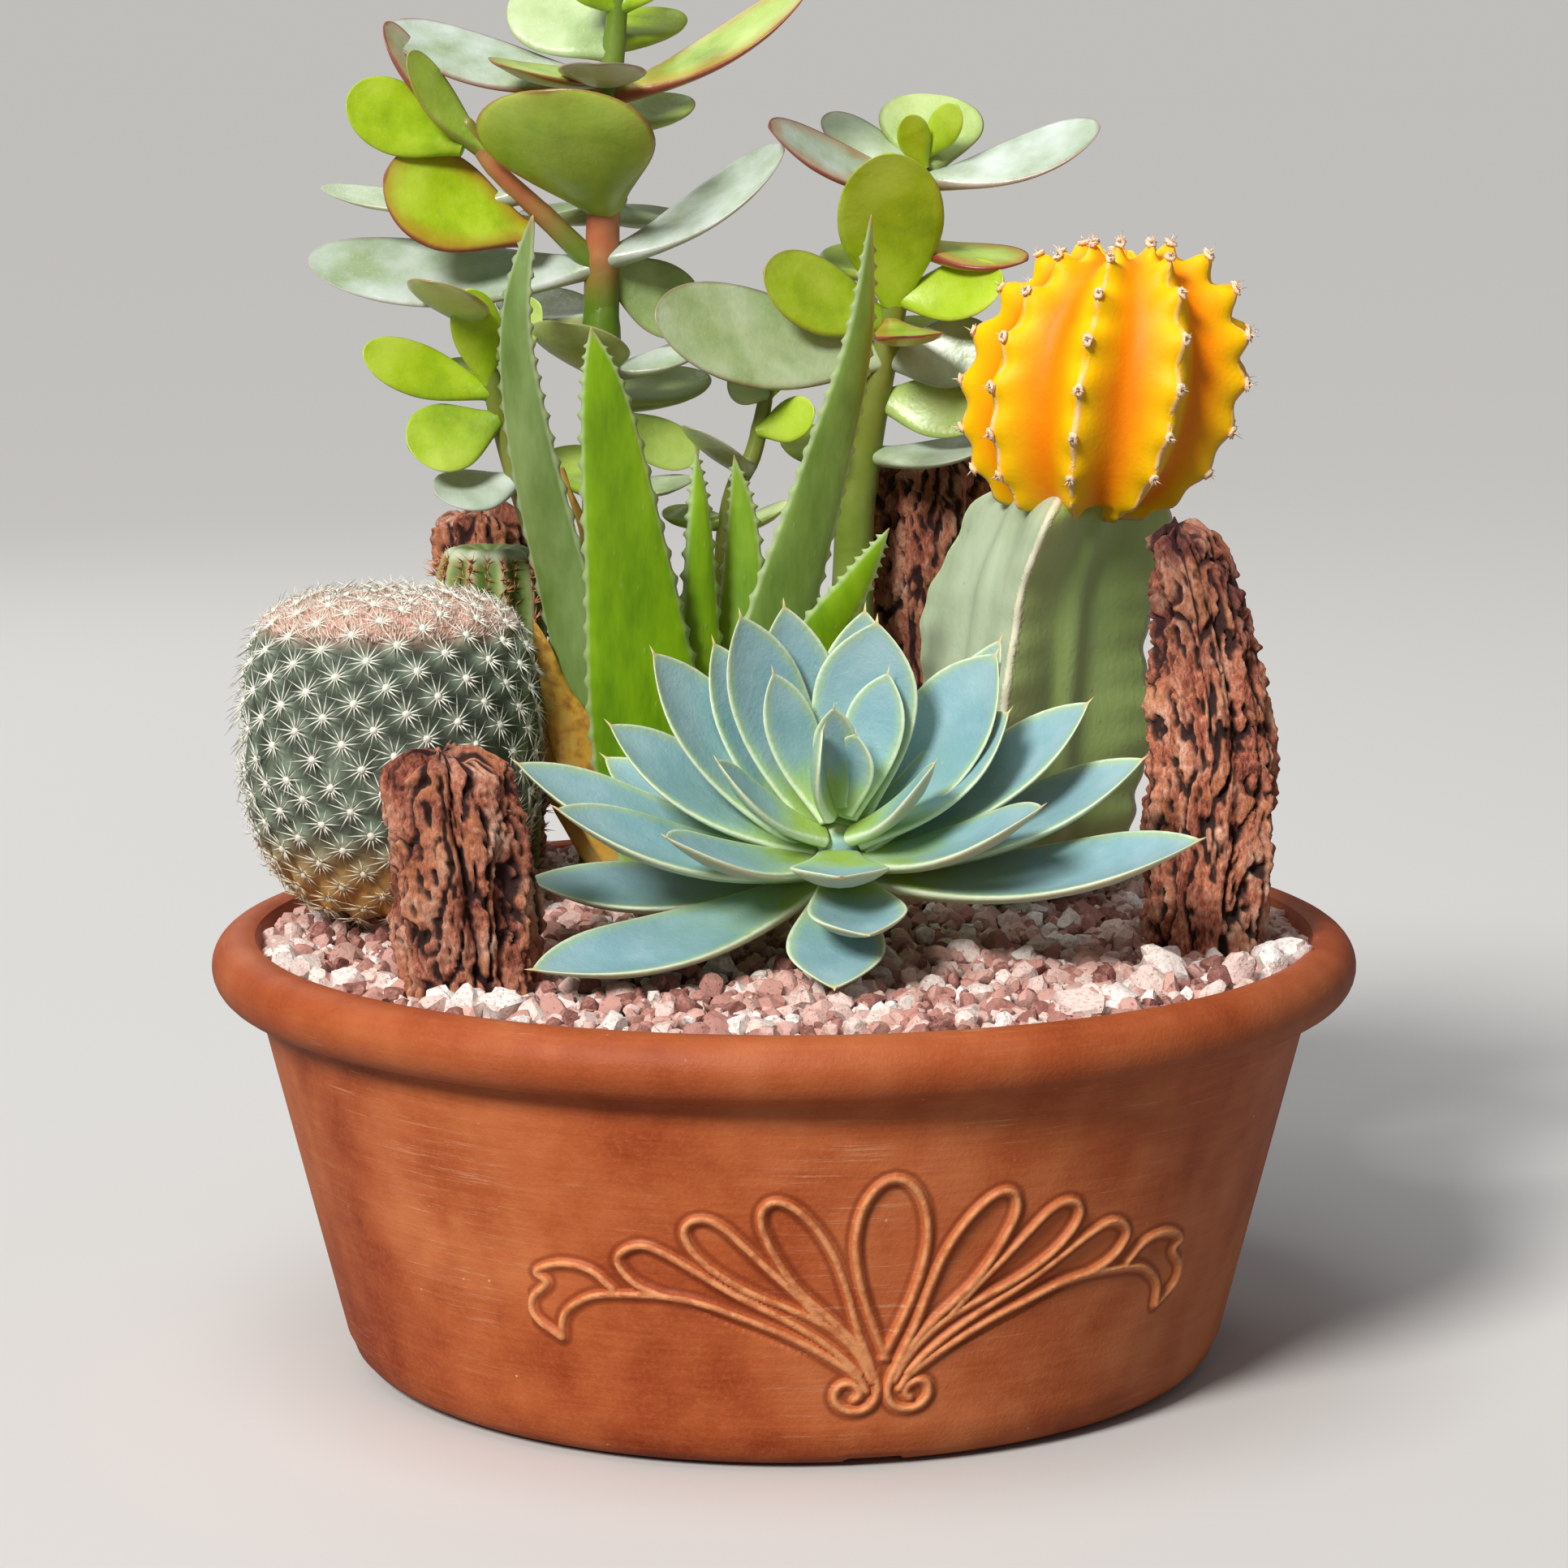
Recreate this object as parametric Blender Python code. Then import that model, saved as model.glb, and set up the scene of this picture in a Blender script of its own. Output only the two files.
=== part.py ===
# Potted succulent arrangement: a round terracotta bowl with a rolled rim and a raised palmette,
# filled with potting soil under a pink gravel top dressing, and planted with an echeveria, a grafted
# moon cactus, two small cacti, an aloe and three jade plants between four pieces of weathered wood.
# Sizes are in millimetres; the meshes are written in metres. Origin: centre of the bowl's foot.

import math
import random

import bmesh
import bpy
from mathutils import Matrix, Vector, geometry, noise

MM = 0.001
TAU = 2 * math.pi

# Driving dimensions of the bowl
RIM_RADIUS = 110.0
BOWL_HEIGHT = 84.0
WALL_TOP_RADIUS = 101.0
WALL_TOP_Z = 70.0
WALL_FOOT_RADIUS = 83.6
WALL_THICKNESS = 7.0
FLOOR_TOP_Z = 10.0
FOOT_RECESS = 3.0
FOOT_OUTER_RADIUS = 78.0
FOOT_INNER_RADIUS = 64.0
DRAIN_RADIUS = 7.0
BOWL_SIDES = 48
FRONT_TURN = math.radians(11.4)  # the palmette and the front notch stand this far right of -Y
NOTCH_WIDTH = 11.0
NOTCH_HEIGHT = 2.0
NOTCH_COUNT = 3

# The palmette, in millimetres along the wall from its middle and up from the table
BEAD_RADIUS = 1.15
BEAD_PROUD = 0.15
PETAL_STEPS = 6
STEM_STEPS = 8
HOOK_STEPS = 7
PETALS = (  # base along, base up, tip along, tip up, half width, bow
    (-2.8, 22.5, -20.0, 53.0, 4.6, -1.2),
    (-5.0, 23.0, -34.6, 49.2, 3.9, -1.2),
    (-5.6, 20.8, -47.6, 41.8, 3.1, -1.6),
)
MIDDLE_PETAL = (0.0, 21.0, 0.0, 56.5, 6.4, 0.0)
PALMETTE_STEM = (
    (-1.4, 15.4), (-3.4, 19.8), (-9.8, 23.4), (-24.9, 30.8), (-41.7, 34.2), (-53.0, 33.6),
    (-58.4, 29.8), (-60.5, 24.4),
)
PALMETTE_HOOK = (
    (-49.5, 34.6), (-54.0, 37.8), (-58.0, 38.6), (-64.0, 36.6), (-62.6, 33.8), (-66.0, 31.0),
    (-65.4, 27.6), (-60.7, 24.2),
)
SCROLL_CENTRE = (-5.4, 15.4)
SCROLL_RADII = (4.1, 1.3)
SCROLL_TURNS = 1.35

# Fill of the bowl
FIT_GAP = 0.3
SOIL_TOP_Z = 62.0
GRAVEL_EDGE_Z = 82.0
GRAVEL_EDGE_RADIUS = 100.2
MOUND_HEIGHT = 9.0
MOUND_CENTRE = (4.0, 24.0)
MOUND_SPREAD = 42.0
PEBBLE_PITCH = 8.9
PEBBLE_RISE = (1.4, 3.0)
ROOT_BOTTOM_Z = 54.0
WOOD_BOTTOM_Z = SOIL_TOP_Z + 2 * FIT_GAP

# Where each thing stands: name -> (x, y, half width along x, half width along y) of its plain hole
FOOTPRINTS = {
    "echeveria": (10.0, -33.0, 7.0, 7.0),
    "moon_cactus_stock": (47.0, 13.0, 13.5, 13.5),
    "globe_cactus": (-73.0, 6.0, 17.0, 18.0),
    "rear_cactus": (-59.0, 43.0, 6.5, 6.5),
    "aloe": (-17.0, 13.0, 8.0, 7.0),
    "jade_left": (-36.0, 33.0, 5.8, 5.8),
    "jade_right": (14.0, 42.0, 5.0, 5.0),
    "jade_low": (-13.0, 37.0, 3.0, 3.0),
    "wood_front": (-57.5, -56.0, 11.2, 8.8),
    "wood_right": (78.5, -22.0, 10.0, 8.5),
    "wood_back_centre": (31.0, 57.0, 10.0, 6.5),
    "wood_back_left": (-57.5, 60.5, 6.5, 5.0),
}
WOODS = tuple(name for name in FOOTPRINTS if name.startswith("wood"))

# Echeveria rosette
ROSETTE_CENTRE = Vector((10.0, -38.0, 99.5))
ROSETTE_TILT = (math.radians(19), math.radians(33))
ROSETTE_LEAVES = 34
ROSETTE_BROAD = 20
ROSETTE_START = math.radians(-5)
GOLDEN_ANGLE = math.radians(137.508)
ROSETTE_LENGTH = (63.0, 25.0)
ROSETTE_RISE = (math.radians(-5), math.radians(80))
ROSETTE_WIDTH = (22.5, 9.5)
ROSETTE_LIFT = 16.0
ROSETTE_FRONT = 0.34
ROSETTE_CROWDED = (  # directions of the rootstock and the aloe, and how much shorter leaves are there
    (math.radians(50), 0.28), (math.radians(118), 0.2),
)

# Grafted moon cactus
STOCK_TOP = Vector((55.0, 10.0, 162.0))
STOCK_RADII = (25.0, 20.5)
STOCK_RIB_TURN = math.radians(-101.4)
STOCK_WAVE = 15.0
HEAD_CENTRE = Vector((62.0, 8.0, 188.0))
HEAD_RADIUS = 25.5
HEAD_STRETCH = 1.06
HEAD_RIBS = 9
HEAD_RIB_TURN = math.radians(-105)
HEAD_AREOLES = 5.9
HEAD_FIRST_AREOLE = 0.75
HEAD_SPINE = 3.4

# Globe cactus and the small ribbed cactus behind it
GLOBE_CENTRE = Vector((-76.0, 6.0, 115.0))
GLOBE_RADIUS = 28.0
GLOBE_HALF_HEIGHT = 31.5
GLOBE_SQUARED = 3.0
GLOBE_AREOLES = 36
GLOBE_SPINES = 2
GLOBE_SPINE = 5.5
REAR_RADIUS = 9.0
REAR_TOP_Z = 154.0
REAR_RIBS = 10

ROOT_SHARE = 0.5  # how much of a spine's length again is sunk into its plant

random.seed(11)


def mix(a, b, t):
    """The value t of the way from a to b."""
    return a + (b - a) * t


def smooth_path(points):
    """A curve through the points, as a function of 0 to 1."""
    knots = [Vector(p) for p in points]
    knots = [2 * knots[0] - knots[1], *knots, 2 * knots[-1] - knots[-2]]
    spans = len(knots) - 3

    def at(t):
        place = min(max(t, 0.0), 0.9999) * spans
        i = int(place)
        u = place - i
        a, b, c, d = knots[i:i + 4]
        return 0.5 * ((2 * b) + (c - a) * u + (2 * a - 5 * b + 4 * c - d) * u * u
                      + (3 * b - a - 3 * c + d) * u ** 3)

    return at


def arched(base, tip, face, arch):
    """A path from base to tip that bulges away from its face, by arch of its length."""
    base, tip = Vector(base), Vector(tip)
    middle = (base + tip) / 2 - Vector(face).normalized() * (tip - base).length * arch
    return lambda t: base * (1 - t) ** 2 + (2 * middle - (base + tip) / 2) * 2 * t * (1 - t) + tip * t * t


def sweep(path, half_width, half_thick, face, sides, rings, even=False, cup=0.0, teeth=0.0):
    """A closed round body that follows a path, as wide and thick as the two functions say.

    Its rings crowd towards the ends unless even. With cup, the edges rise towards its face. With
    teeth, the edges of every other ring stand out by that much."""
    bm = bmesh.new()
    bmesh.ops.create_uvsphere(bm, u_segments=sides, v_segments=rings, radius=1)
    for v in bm.verts:
        level = max(-1.0, min(1.0, v.co.z))
        t = math.acos(-level) / math.pi if even else (1 + level) / 2
        step = 0.01
        along = (path(min(t + step, 1)) - path(max(t - step, 0))).normalized()
        across = along.cross(face).normalized()
        normal = across.cross(along)
        around = math.atan2(v.co.x, v.co.y)
        at_pole = 0 if abs(level) > 0.9999 else 1
        side = half_width(t) * math.cos(around)
        if abs(math.cos(around)) > 0.99 and round(t * rings) % 2 and 0.15 < t < 0.9:
            side += math.copysign(teeth, side)
        rise = half_thick(t) * math.sin(around) + cup * side * math.cos(around) * math.copysign(1, side)
        v.co = (path(t) + (across * side + normal * rise) * at_pole) * MM
    return bm


def outline(shape, t):
    """Half width of a leaf at t, as a share of its greatest.

    shape is the width at the root, where the leaf is widest, and two powers that round its tip."""
    root, belly, round_power, point_power = shape
    if t < belly:
        return mix(root, 1, math.sin(t / belly * math.pi / 2) ** 1.4)
    return (1 - ((t - belly) / (1 - belly)) ** round_power) ** point_power


def blade(path, face, width, thick, shape, sides=6, rings=6, even=False, cup=0.0, teeth=0.0):
    """A fleshy leaf, thinner towards its tip."""

    def depth(t):
        return max(thick / 2 * (1 - 0.6 * t), 0.5) * min(1, 3 * (1 - t) + 0.35)

    def half_width(t):
        return width / 2 * outline(shape, t)

    return sweep(path, half_width, depth, Vector(face), sides, rings, even, cup, teeth)


JADE_SHAPE = (0.27, 0.62, 2.3, 0.5)
ROSETTE_SHAPE = (0.42, 0.6, 2.0, 0.8)
ALOE_SHAPE = (0.92, 0.16, 1.05, 0.85)


def limb(points, radii, sides=6, rings=7):
    """A stem through the points, tapering from its first radius to its last."""
    path = smooth_path(points)

    def radius(t):
        return mix(radii[0], radii[1], t)

    return sweep(path, radius, radius, Vector((0.3, -1, 0.1)), sides, rings)


def plug(name, bottom, top, grow=0.0):
    """The plain upright stretch of a root or foot, or with grow the hole that it stands in."""
    x, y, half_x, half_y = FOOTPRINTS[name]
    sides = 12 if half_x > 12 else 8
    bm = bmesh.new()
    place = Matrix.Translation(Vector((x, y, (bottom + top) / 2)) * MM)
    size = Matrix.Diagonal(((half_x + grow) * MM, (half_y + grow) * MM, (top - bottom) * MM, 1))
    bmesh.ops.create_cone(bm, cap_ends=True, segments=sides, radius1=1, radius2=1, depth=1,
                          matrix=place @ size)
    return bm


def ringed_cylinder(sides, rings):
    """An upright cylinder of height 1 and radius 1, its wall cut into rings."""
    bm = bmesh.new()
    bmesh.ops.create_cone(bm, cap_ends=True, segments=sides, radius1=1, radius2=1, depth=1)
    upright = [e for e in bm.edges if abs(e.verts[0].co.z - e.verts[1].co.z) > 0.5]
    bmesh.ops.subdivide_edges(bm, edges=upright, cuts=rings - 1, use_grid_fill=True)
    return bm


def needle(foot, direction, length, radius):
    """A three-sided spine whose root is sunk into what it grows from."""
    bm = bmesh.new()
    direction = Vector(direction).normalized()
    sunk = length * ROOT_SHARE
    middle = Vector(foot) + direction * (length - sunk) / 2
    turn = direction.to_track_quat("Z", "Y").to_matrix().to_4x4()
    bmesh.ops.create_cone(bm, cap_ends=True, segments=3, radius1=radius * MM, radius2=0,
                          depth=(length + sunk) * MM, matrix=Matrix.Translation(middle * MM) @ turn)
    bmesh.ops.remove_doubles(bm, verts=bm.verts, dist=1e-6)
    return bm


def material(name, colour, roughness):
    made = bpy.data.materials.new(name)
    made.use_nodes = True
    shader = made.node_tree.nodes["Principled BSDF"]
    shader.inputs["Base Color"].default_value = (*colour, 1)
    shader.inputs["Roughness"].default_value = roughness
    shader.inputs["Metallic"].default_value = 0
    return made


def place_mesh(name, bm, collection=None):
    """Puts a bmesh into the scene as an object."""
    bmesh.ops.recalc_face_normals(bm, faces=bm.faces)
    if bm.calc_volume(signed=True) < 0:
        bmesh.ops.reverse_faces(bm, faces=bm.faces)
    mesh = bpy.data.meshes.new(name)
    bm.to_mesh(mesh)
    bm.free()
    made = bpy.data.objects.new(name, mesh)
    (collection or bpy.context.scene.collection).objects.link(made)
    return made


def combine(body, shapes, operation, solver):
    """Applies one Boolean of a collection of closed shapes to a body, and removes the shapes."""
    helpers = bpy.data.collections.new(body.name + "_shapes")
    bpy.context.scene.collection.children.link(helpers)
    for i, bm in enumerate(shapes):
        place_mesh(f"{body.name}_shape_{i}", bm, helpers)
    boolean = body.modifiers.new("combine", "BOOLEAN")
    boolean.operation = operation
    boolean.solver = solver
    boolean.operand_type = "COLLECTION"
    boolean.collection = helpers
    graph = bpy.context.evaluated_depsgraph_get()
    applied = bpy.data.meshes.new_from_object(body.evaluated_get(graph))
    body.modifiers.clear()
    body.data = applied
    for shape in list(helpers.objects):
        bpy.data.objects.remove(shape)
    bpy.data.collections.remove(helpers)
    return body


def finished(body, surface, smooth_angle=40):
    """Gives an object its material and its shading."""
    body.data.materials.clear()
    body.data.materials.append(surface)
    body.data.shade_smooth()
    body.data.set_sharp_from_angle(angle=math.radians(smooth_angle))
    return body


def fused(name, shapes, surface, solver="MANIFOLD"):
    """One solid from many that grow together."""
    body = place_mesh(name, shapes[0])
    if len(shapes) > 1:
        combine(body, shapes[1:], "UNION", solver)
    return finished(body, surface)


def wall_radius(z):
    """Outer radius of the bowl's wall at a height."""
    return mix(WALL_FOOT_RADIUS, WALL_TOP_RADIUS, z / WALL_TOP_Z)


def inner_radius(z):
    return wall_radius(z) - WALL_THICKNESS


def turned(profile, sides):
    """A body of revolution from a closed outline of (radius, height)."""
    bm = bmesh.new()
    corners = [bm.verts.new((r * MM, 0, z * MM)) for r, z in profile]
    edges = [bm.edges.new((a, b)) for a, b in zip(corners, corners[1:] + corners[:1])]
    bmesh.ops.spin(bm, geom=corners + edges, cent=(0, 0, 0), axis=(0, 0, 1), angle=TAU,
                   steps=sides, use_merge=True)
    bmesh.ops.remove_doubles(bm, verts=bm.verts, dist=1e-6)
    return bm


def bowl_profile():
    rim = WALL_TOP_Z
    return (
        (DRAIN_RADIUS, FOOT_RECESS), (FOOT_INNER_RADIUS - 2, FOOT_RECESS), (FOOT_INNER_RADIUS, 0),
        (FOOT_OUTER_RADIUS, 0), (FOOT_OUTER_RADIUS + 4, 1.8), (wall_radius(6.5), 6.5),
        (WALL_TOP_RADIUS, rim), (RIM_RADIUS - 3.0, rim + 1.2), (RIM_RADIUS, rim + 6),
        (RIM_RADIUS - 0.9, rim + 10.8), (RIM_RADIUS - 5.0, BOWL_HEIGHT),
        (RIM_RADIUS - 8.6, rim + 12.6), (inner_radius(rim), rim - 4),
        (inner_radius(FLOOR_TOP_Z), FLOOR_TOP_Z), (DRAIN_RADIUS, FLOOR_TOP_Z),
    )


def on_wall(along, up):
    """A point on the bowl's front wall, from millimetres along it and up it."""
    radius = wall_radius(up) + BEAD_PROUD
    angle = FRONT_TURN + along / wall_radius(up)
    return Vector((radius * math.sin(angle), -radius * math.cos(angle), up))


def petal_outline(base_along, base_up, tip_along, tip_up, half_width, bow):
    """The closed loop of one palmette petal, narrow at its base and round at its tip."""
    base, tip = Vector((base_along, base_up)), Vector((tip_along, tip_up))
    side = (tip - base).orthogonal().normalized()
    loop = []
    for i in range(2 * PETAL_STEPS):
        s = i / PETAL_STEPS
        t = math.sin(min(s, 2 - s) * math.pi / 2)
        spread = half_width * abs(math.sin(math.pi * t ** 1.9)) ** 0.5 * (1 if s < 1 else -1)
        if i == PETAL_STEPS:
            spread = 0
        loop.append(base.lerp(tip, t) + side * (spread + bow * 4 * t * (1 - t)))
    return loop


def scroll_outline(steps=8):
    """The small volute at the foot of the palmette."""
    line = []
    for i in range(steps):
        t = i / (steps - 1)
        angle = math.radians(5) - t * SCROLL_TURNS * TAU
        radius = mix(*SCROLL_RADII, t)
        line.append(Vector(SCROLL_CENTRE) + Vector((math.cos(angle), math.sin(angle))) * radius)
    return line


def bead(line, closed):
    """A raised line on the wall: a four-sided tube half sunk into it."""
    curve = bpy.data.curves.new("bead", "CURVE")
    curve.dimensions = "3D"
    curve.bevel_depth = BEAD_RADIUS * MM
    curve.bevel_resolution = 0
    curve.use_fill_caps = not closed
    spline = curve.splines.new("POLY")
    spline.points.add(len(line) - 1)
    for point, (along, up) in zip(spline.points, line):
        point.co = (*(on_wall(along, up) * MM), 1)
    spline.use_cyclic_u = closed
    holder = bpy.data.objects.new("bead", curve)
    bpy.context.scene.collection.objects.link(holder)
    graph = bpy.context.evaluated_depsgraph_get()
    bm = bmesh.new()
    bm.from_mesh(holder.evaluated_get(graph).to_mesh())
    bmesh.ops.remove_doubles(bm, verts=bm.verts, dist=1e-6)
    bpy.data.objects.remove(holder)
    return bm


def palmette_beads():
    """Every raised line of the ornament, each side line with its mirror image."""
    beads = [bead(petal_outline(*MIDDLE_PETAL), True)]
    stem = smooth_path([(a, u, 0) for a, u in PALMETTE_STEM])
    hook = smooth_path([(a, u, 0) for a, u in PALMETTE_HOOK])
    for side in (1, -1):
        for row in PETALS:
            loop = petal_outline(*row)
            beads.append(bead([(side * p.x, p.y) for p in loop], True))
        for path, steps in ((stem, STEM_STEPS), (hook, HOOK_STEPS)):
            line = [path(i / (steps - 1)) for i in range(steps)]
            beads.append(bead([(side * p.x, p.y) for p in line], False))
        beads.append(bead([(side * p.x, p.y) for p in scroll_outline()], False))
    return beads


def foot_notches():
    """Short channels under the foot that let water out."""
    cutters = []
    for i in range(NOTCH_COUNT):
        bm = bmesh.new()
        turn = Matrix.Rotation(FRONT_TURN + i * TAU / NOTCH_COUNT, 4, "Z")
        middle = Vector((0, -(FOOT_INNER_RADIUS + FOOT_OUTER_RADIUS) / 2 - 2, 0)) * MM
        size = Vector((NOTCH_WIDTH, FOOT_OUTER_RADIUS - FOOT_INNER_RADIUS + 14, 2 * NOTCH_HEIGHT)) * MM
        bmesh.ops.create_cube(bm, size=1, matrix=turn @ Matrix.Translation(middle)
                              @ Matrix.Diagonal((*size, 1)))
        cutters.append(bm)
    return cutters


def make_bowl(surface):
    bowl = place_mesh("pot", turned(bowl_profile(), BOWL_SIDES))
    combine(bowl, foot_notches(), "DIFFERENCE", "EXACT")
    combine(bowl, palmette_beads(), "UNION", "MANIFOLD")
    return finished(bowl, surface, 32)


def make_soil(surface):
    """The potting soil under the gravel, with a plain hole for each root."""
    gap = 2 * FIT_GAP
    bottom = FLOOR_TOP_Z + FIT_GAP
    bm = bmesh.new()
    outline_points = ((0, bottom), (inner_radius(bottom) - gap, bottom),
                      (inner_radius(SOIL_TOP_Z) - gap, SOIL_TOP_Z), (0, SOIL_TOP_Z))
    corners = [bm.verts.new((r * MM, 0, z * MM)) for r, z in outline_points]
    edges = [bm.edges.new(pair) for pair in zip(corners, corners[1:])]
    bmesh.ops.spin(bm, geom=corners + edges, cent=(0, 0, 0), axis=(0, 0, 1), angle=TAU,
                   steps=BOWL_SIDES // 2, use_merge=True)
    bmesh.ops.remove_doubles(bm, verts=bm.verts, dist=1e-6)
    soil = place_mesh("potting_soil", bm)
    holes = [plug(name, ROOT_BOTTOM_Z - FIT_GAP, SOIL_TOP_Z + 5, FIT_GAP)
             for name in FOOTPRINTS if name not in WOODS]
    combine(soil, holes, "DIFFERENCE", "EXACT")
    return finished(soil, surface)


def ground(x, y):
    """Height of the gravel's low places: a mound that falls away to the rim."""
    near = ((x - MOUND_CENTRE[0]) ** 2 + (y - MOUND_CENTRE[1]) ** 2) / (2 * MOUND_SPREAD ** 2)
    return GRAVEL_EDGE_Z - 1.5 + MOUND_HEIGHT * math.exp(-near)


def pebble_points(edge_radius):
    """(x, y, z) over the bed: a peak in the middle of each pebble, low corners between them."""
    points = []
    rows = int(edge_radius / PEBBLE_PITCH / 0.866) + 1
    for row in range(-rows, rows + 1):
        for column in range(-rows - 1, rows + 2):
            peak = (column + (row % 3)) % 3 == 0 if row % 2 == 0 else (column + (row % 3) + 1) % 3 == 0
            x = (column + (0.5 if row % 2 else 0)) * PEBBLE_PITCH + random.uniform(-0.9, 0.9)
            y = row * PEBBLE_PITCH * 0.866 + random.uniform(-0.9, 0.9)
            rise = random.uniform(*PEBBLE_RISE) if peak else 0
            if math.hypot(x, y) < edge_radius - PEBBLE_PITCH * 0.55:
                points.append((x, y, ground(x, y) + rise))
    return points


def make_gravel(surface):
    """The gravel bed: pebbles raised from one layer, with a plain hole for all that stands in it."""
    bottom = SOIL_TOP_Z + FIT_GAP
    edge = GRAVEL_EDGE_RADIUS
    turns = [i * TAU / BOWL_SIDES for i in range(BOWL_SIDES)]
    ring = [(edge * math.cos(a), edge * math.sin(a)) for a in turns]
    points = pebble_points(edge)
    flat = [Vector(p) for p in ring] + [Vector(p[:2]) for p in points]
    heights = [GRAVEL_EDGE_Z] * len(ring) + [p[2] for p in points]
    loop = [(i, (i + 1) % len(ring)) for i in range(len(ring))]
    spots, _, faces, originals, _, _ = geometry.delaunay_2d_cdt(flat, loop, [], 1, 1e-6)
    bm = bmesh.new()
    corners = [bm.verts.new((p.x * MM, p.y * MM, heights[o[0]] * MM)) for p, o in zip(spots, originals)]
    for face in faces:
        bm.faces.new([corners[i] for i in face])
    rim = [e for e in bm.edges if e.is_boundary]
    lower = bmesh.ops.extrude_edge_only(bm, edges=rim)["geom"]
    for v in (g for g in lower if isinstance(g, bmesh.types.BMVert)):
        v.co *= (inner_radius(bottom) - 2 * FIT_GAP) / edge
        v.co.z = bottom * MM
    bmesh.ops.edgeloop_fill(bm, edges=[g for g in lower if isinstance(g, bmesh.types.BMEdge)])
    bed = place_mesh("gravel", bm)
    holes = [plug(name, bottom - 5, BOWL_HEIGHT + 40, FIT_GAP) for name in FOOTPRINTS]
    combine(bed, holes, "DIFFERENCE", "EXACT")
    return finished(bed, surface, 20)


def rosette_leaf(i):
    """Base, tip, face, width and thickness of leaf i of the rosette, counted from the outside in."""
    q = i / (ROSETTE_LEAVES - 1)
    azimuth = ROSETTE_START + i * GOLDEN_ANGLE
    tilt = Matrix.Rotation(mix(*ROSETTE_TILT, q), 3, "X")
    rise = mix(*ROSETTE_RISE, q ** 0.85)
    crowding = sum(max(0, math.cos(azimuth - side)) ** 6 * share for side, share in ROSETTE_CROWDED)
    length = mix(*ROSETTE_LENGTH, q ** 1.1) * (1 - ROSETTE_FRONT * max(0, -math.sin(azimuth)) - crowding)
    outward = Vector((math.cos(azimuth), math.sin(azimuth), 0))
    direction = outward * math.cos(rise) + Vector((0, 0, math.sin(rise)))
    face = tilt @ (Vector((0, 0, math.cos(rise))) - outward * math.sin(rise))
    base = ROSETTE_CENTRE + tilt @ (Vector((0, 0, ROSETTE_LIFT * q)) + outward * mix(4.5, 1.5, q))
    return base, base + tilt @ (direction * length), face, mix(*ROSETTE_WIDTH, q ** 1.2), mix(4.6, 3.0, q)


def make_echeveria(surface):
    """The rosette: leaves at the golden angle, long and low outside, short and upright inside."""
    core = bmesh.new()
    tilt = Matrix.Rotation(ROSETTE_TILT[1], 4, "X")
    middle = ROSETTE_CENTRE + tilt @ Vector((0, 0, ROSETTE_LIFT * 0.45))
    bmesh.ops.create_uvsphere(core, u_segments=10, v_segments=6, radius=1,
                              matrix=Matrix.Translation(middle * MM) @ tilt
                              @ Matrix.Diagonal((7.5 * MM, 7.5 * MM, 11 * MM, 1)))
    shapes = [core, plug("echeveria", ROOT_BOTTOM_Z, ROSETTE_CENTRE.z - 3)]
    for i in range(ROSETTE_LEAVES):
        base, tip, face, width, thick = rosette_leaf(i)
        sides = 6 if i < ROSETTE_BROAD else 4
        path = arched(base, tip, face, 0.09)
        shapes.append(blade(path, face, width, thick, ROSETTE_SHAPE, sides, 5, cup=0.16))
    return fused("echeveria", shapes, surface)


def stock_radius(around, up, radius):
    """A three-ribbed stem: the rib's tip is at around 0 and the faces are nearly flat between."""
    third = TAU / 3
    off = abs((around + third / 2) % third - third / 2)
    flat = math.cos(third / 2) / math.cos(third / 2 - off)
    wave = 1 + 0.035 * math.cos(up * TAU / STOCK_WAVE)
    return radius * mix(flat * 1.04, 1, 0.08) * mix(1, wave, max(0, 1 - off / 0.5))


def make_stock(surface):
    """The rootstock of the moon cactus, three-ribbed, with a round foot in the soil."""
    x, y, _, _ = FOOTPRINTS["moon_cactus_stock"]
    low_z = ground(x, y) + 3.4
    low = Vector((x, y, low_z))
    bm = ringed_cylinder(18, 10)
    for v in bm.verts:
        t = v.co.z + 0.5
        around = math.atan2(v.co.y, v.co.x)
        middle = low.lerp(STOCK_TOP, t)
        radius = mix(*STOCK_RADII, t) * (0.66 + 0.34 * min(1, t * 6))
        out = stock_radius(around - STOCK_RIB_TURN, middle.z, radius)
        v.co = (middle + Vector((math.cos(around), math.sin(around), 0)) * out) * MM
    shapes = [bm, plug("moon_cactus_stock", ROOT_BOTTOM_Z, low_z + 2)]
    return fused("moon_cactus_stock", shapes, surface)


def head_point(around, polar):
    """A point on the ribbed, knobbed head. polar is 0 at the crown."""
    ridge = math.cos(HEAD_RIBS * (around - HEAD_RIB_TURN) / 2) ** 2
    level = math.sin(polar)
    knob = math.cos(TAU * (polar / math.pi * HEAD_AREOLES - HEAD_FIRST_AREOLE)) * ridge * level
    radius = HEAD_RADIUS * (1 + level * (0.2 * ridge - 0.13) + 0.035 * knob)
    crown = 1 - 0.14 * math.exp(-(polar / 0.35) ** 2)
    flat = Vector((math.cos(around) * level, math.sin(around) * level, 0))
    return HEAD_CENTRE + flat * radius + Vector((0, 0, math.cos(polar) * radius * crown * HEAD_STRETCH))


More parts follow.
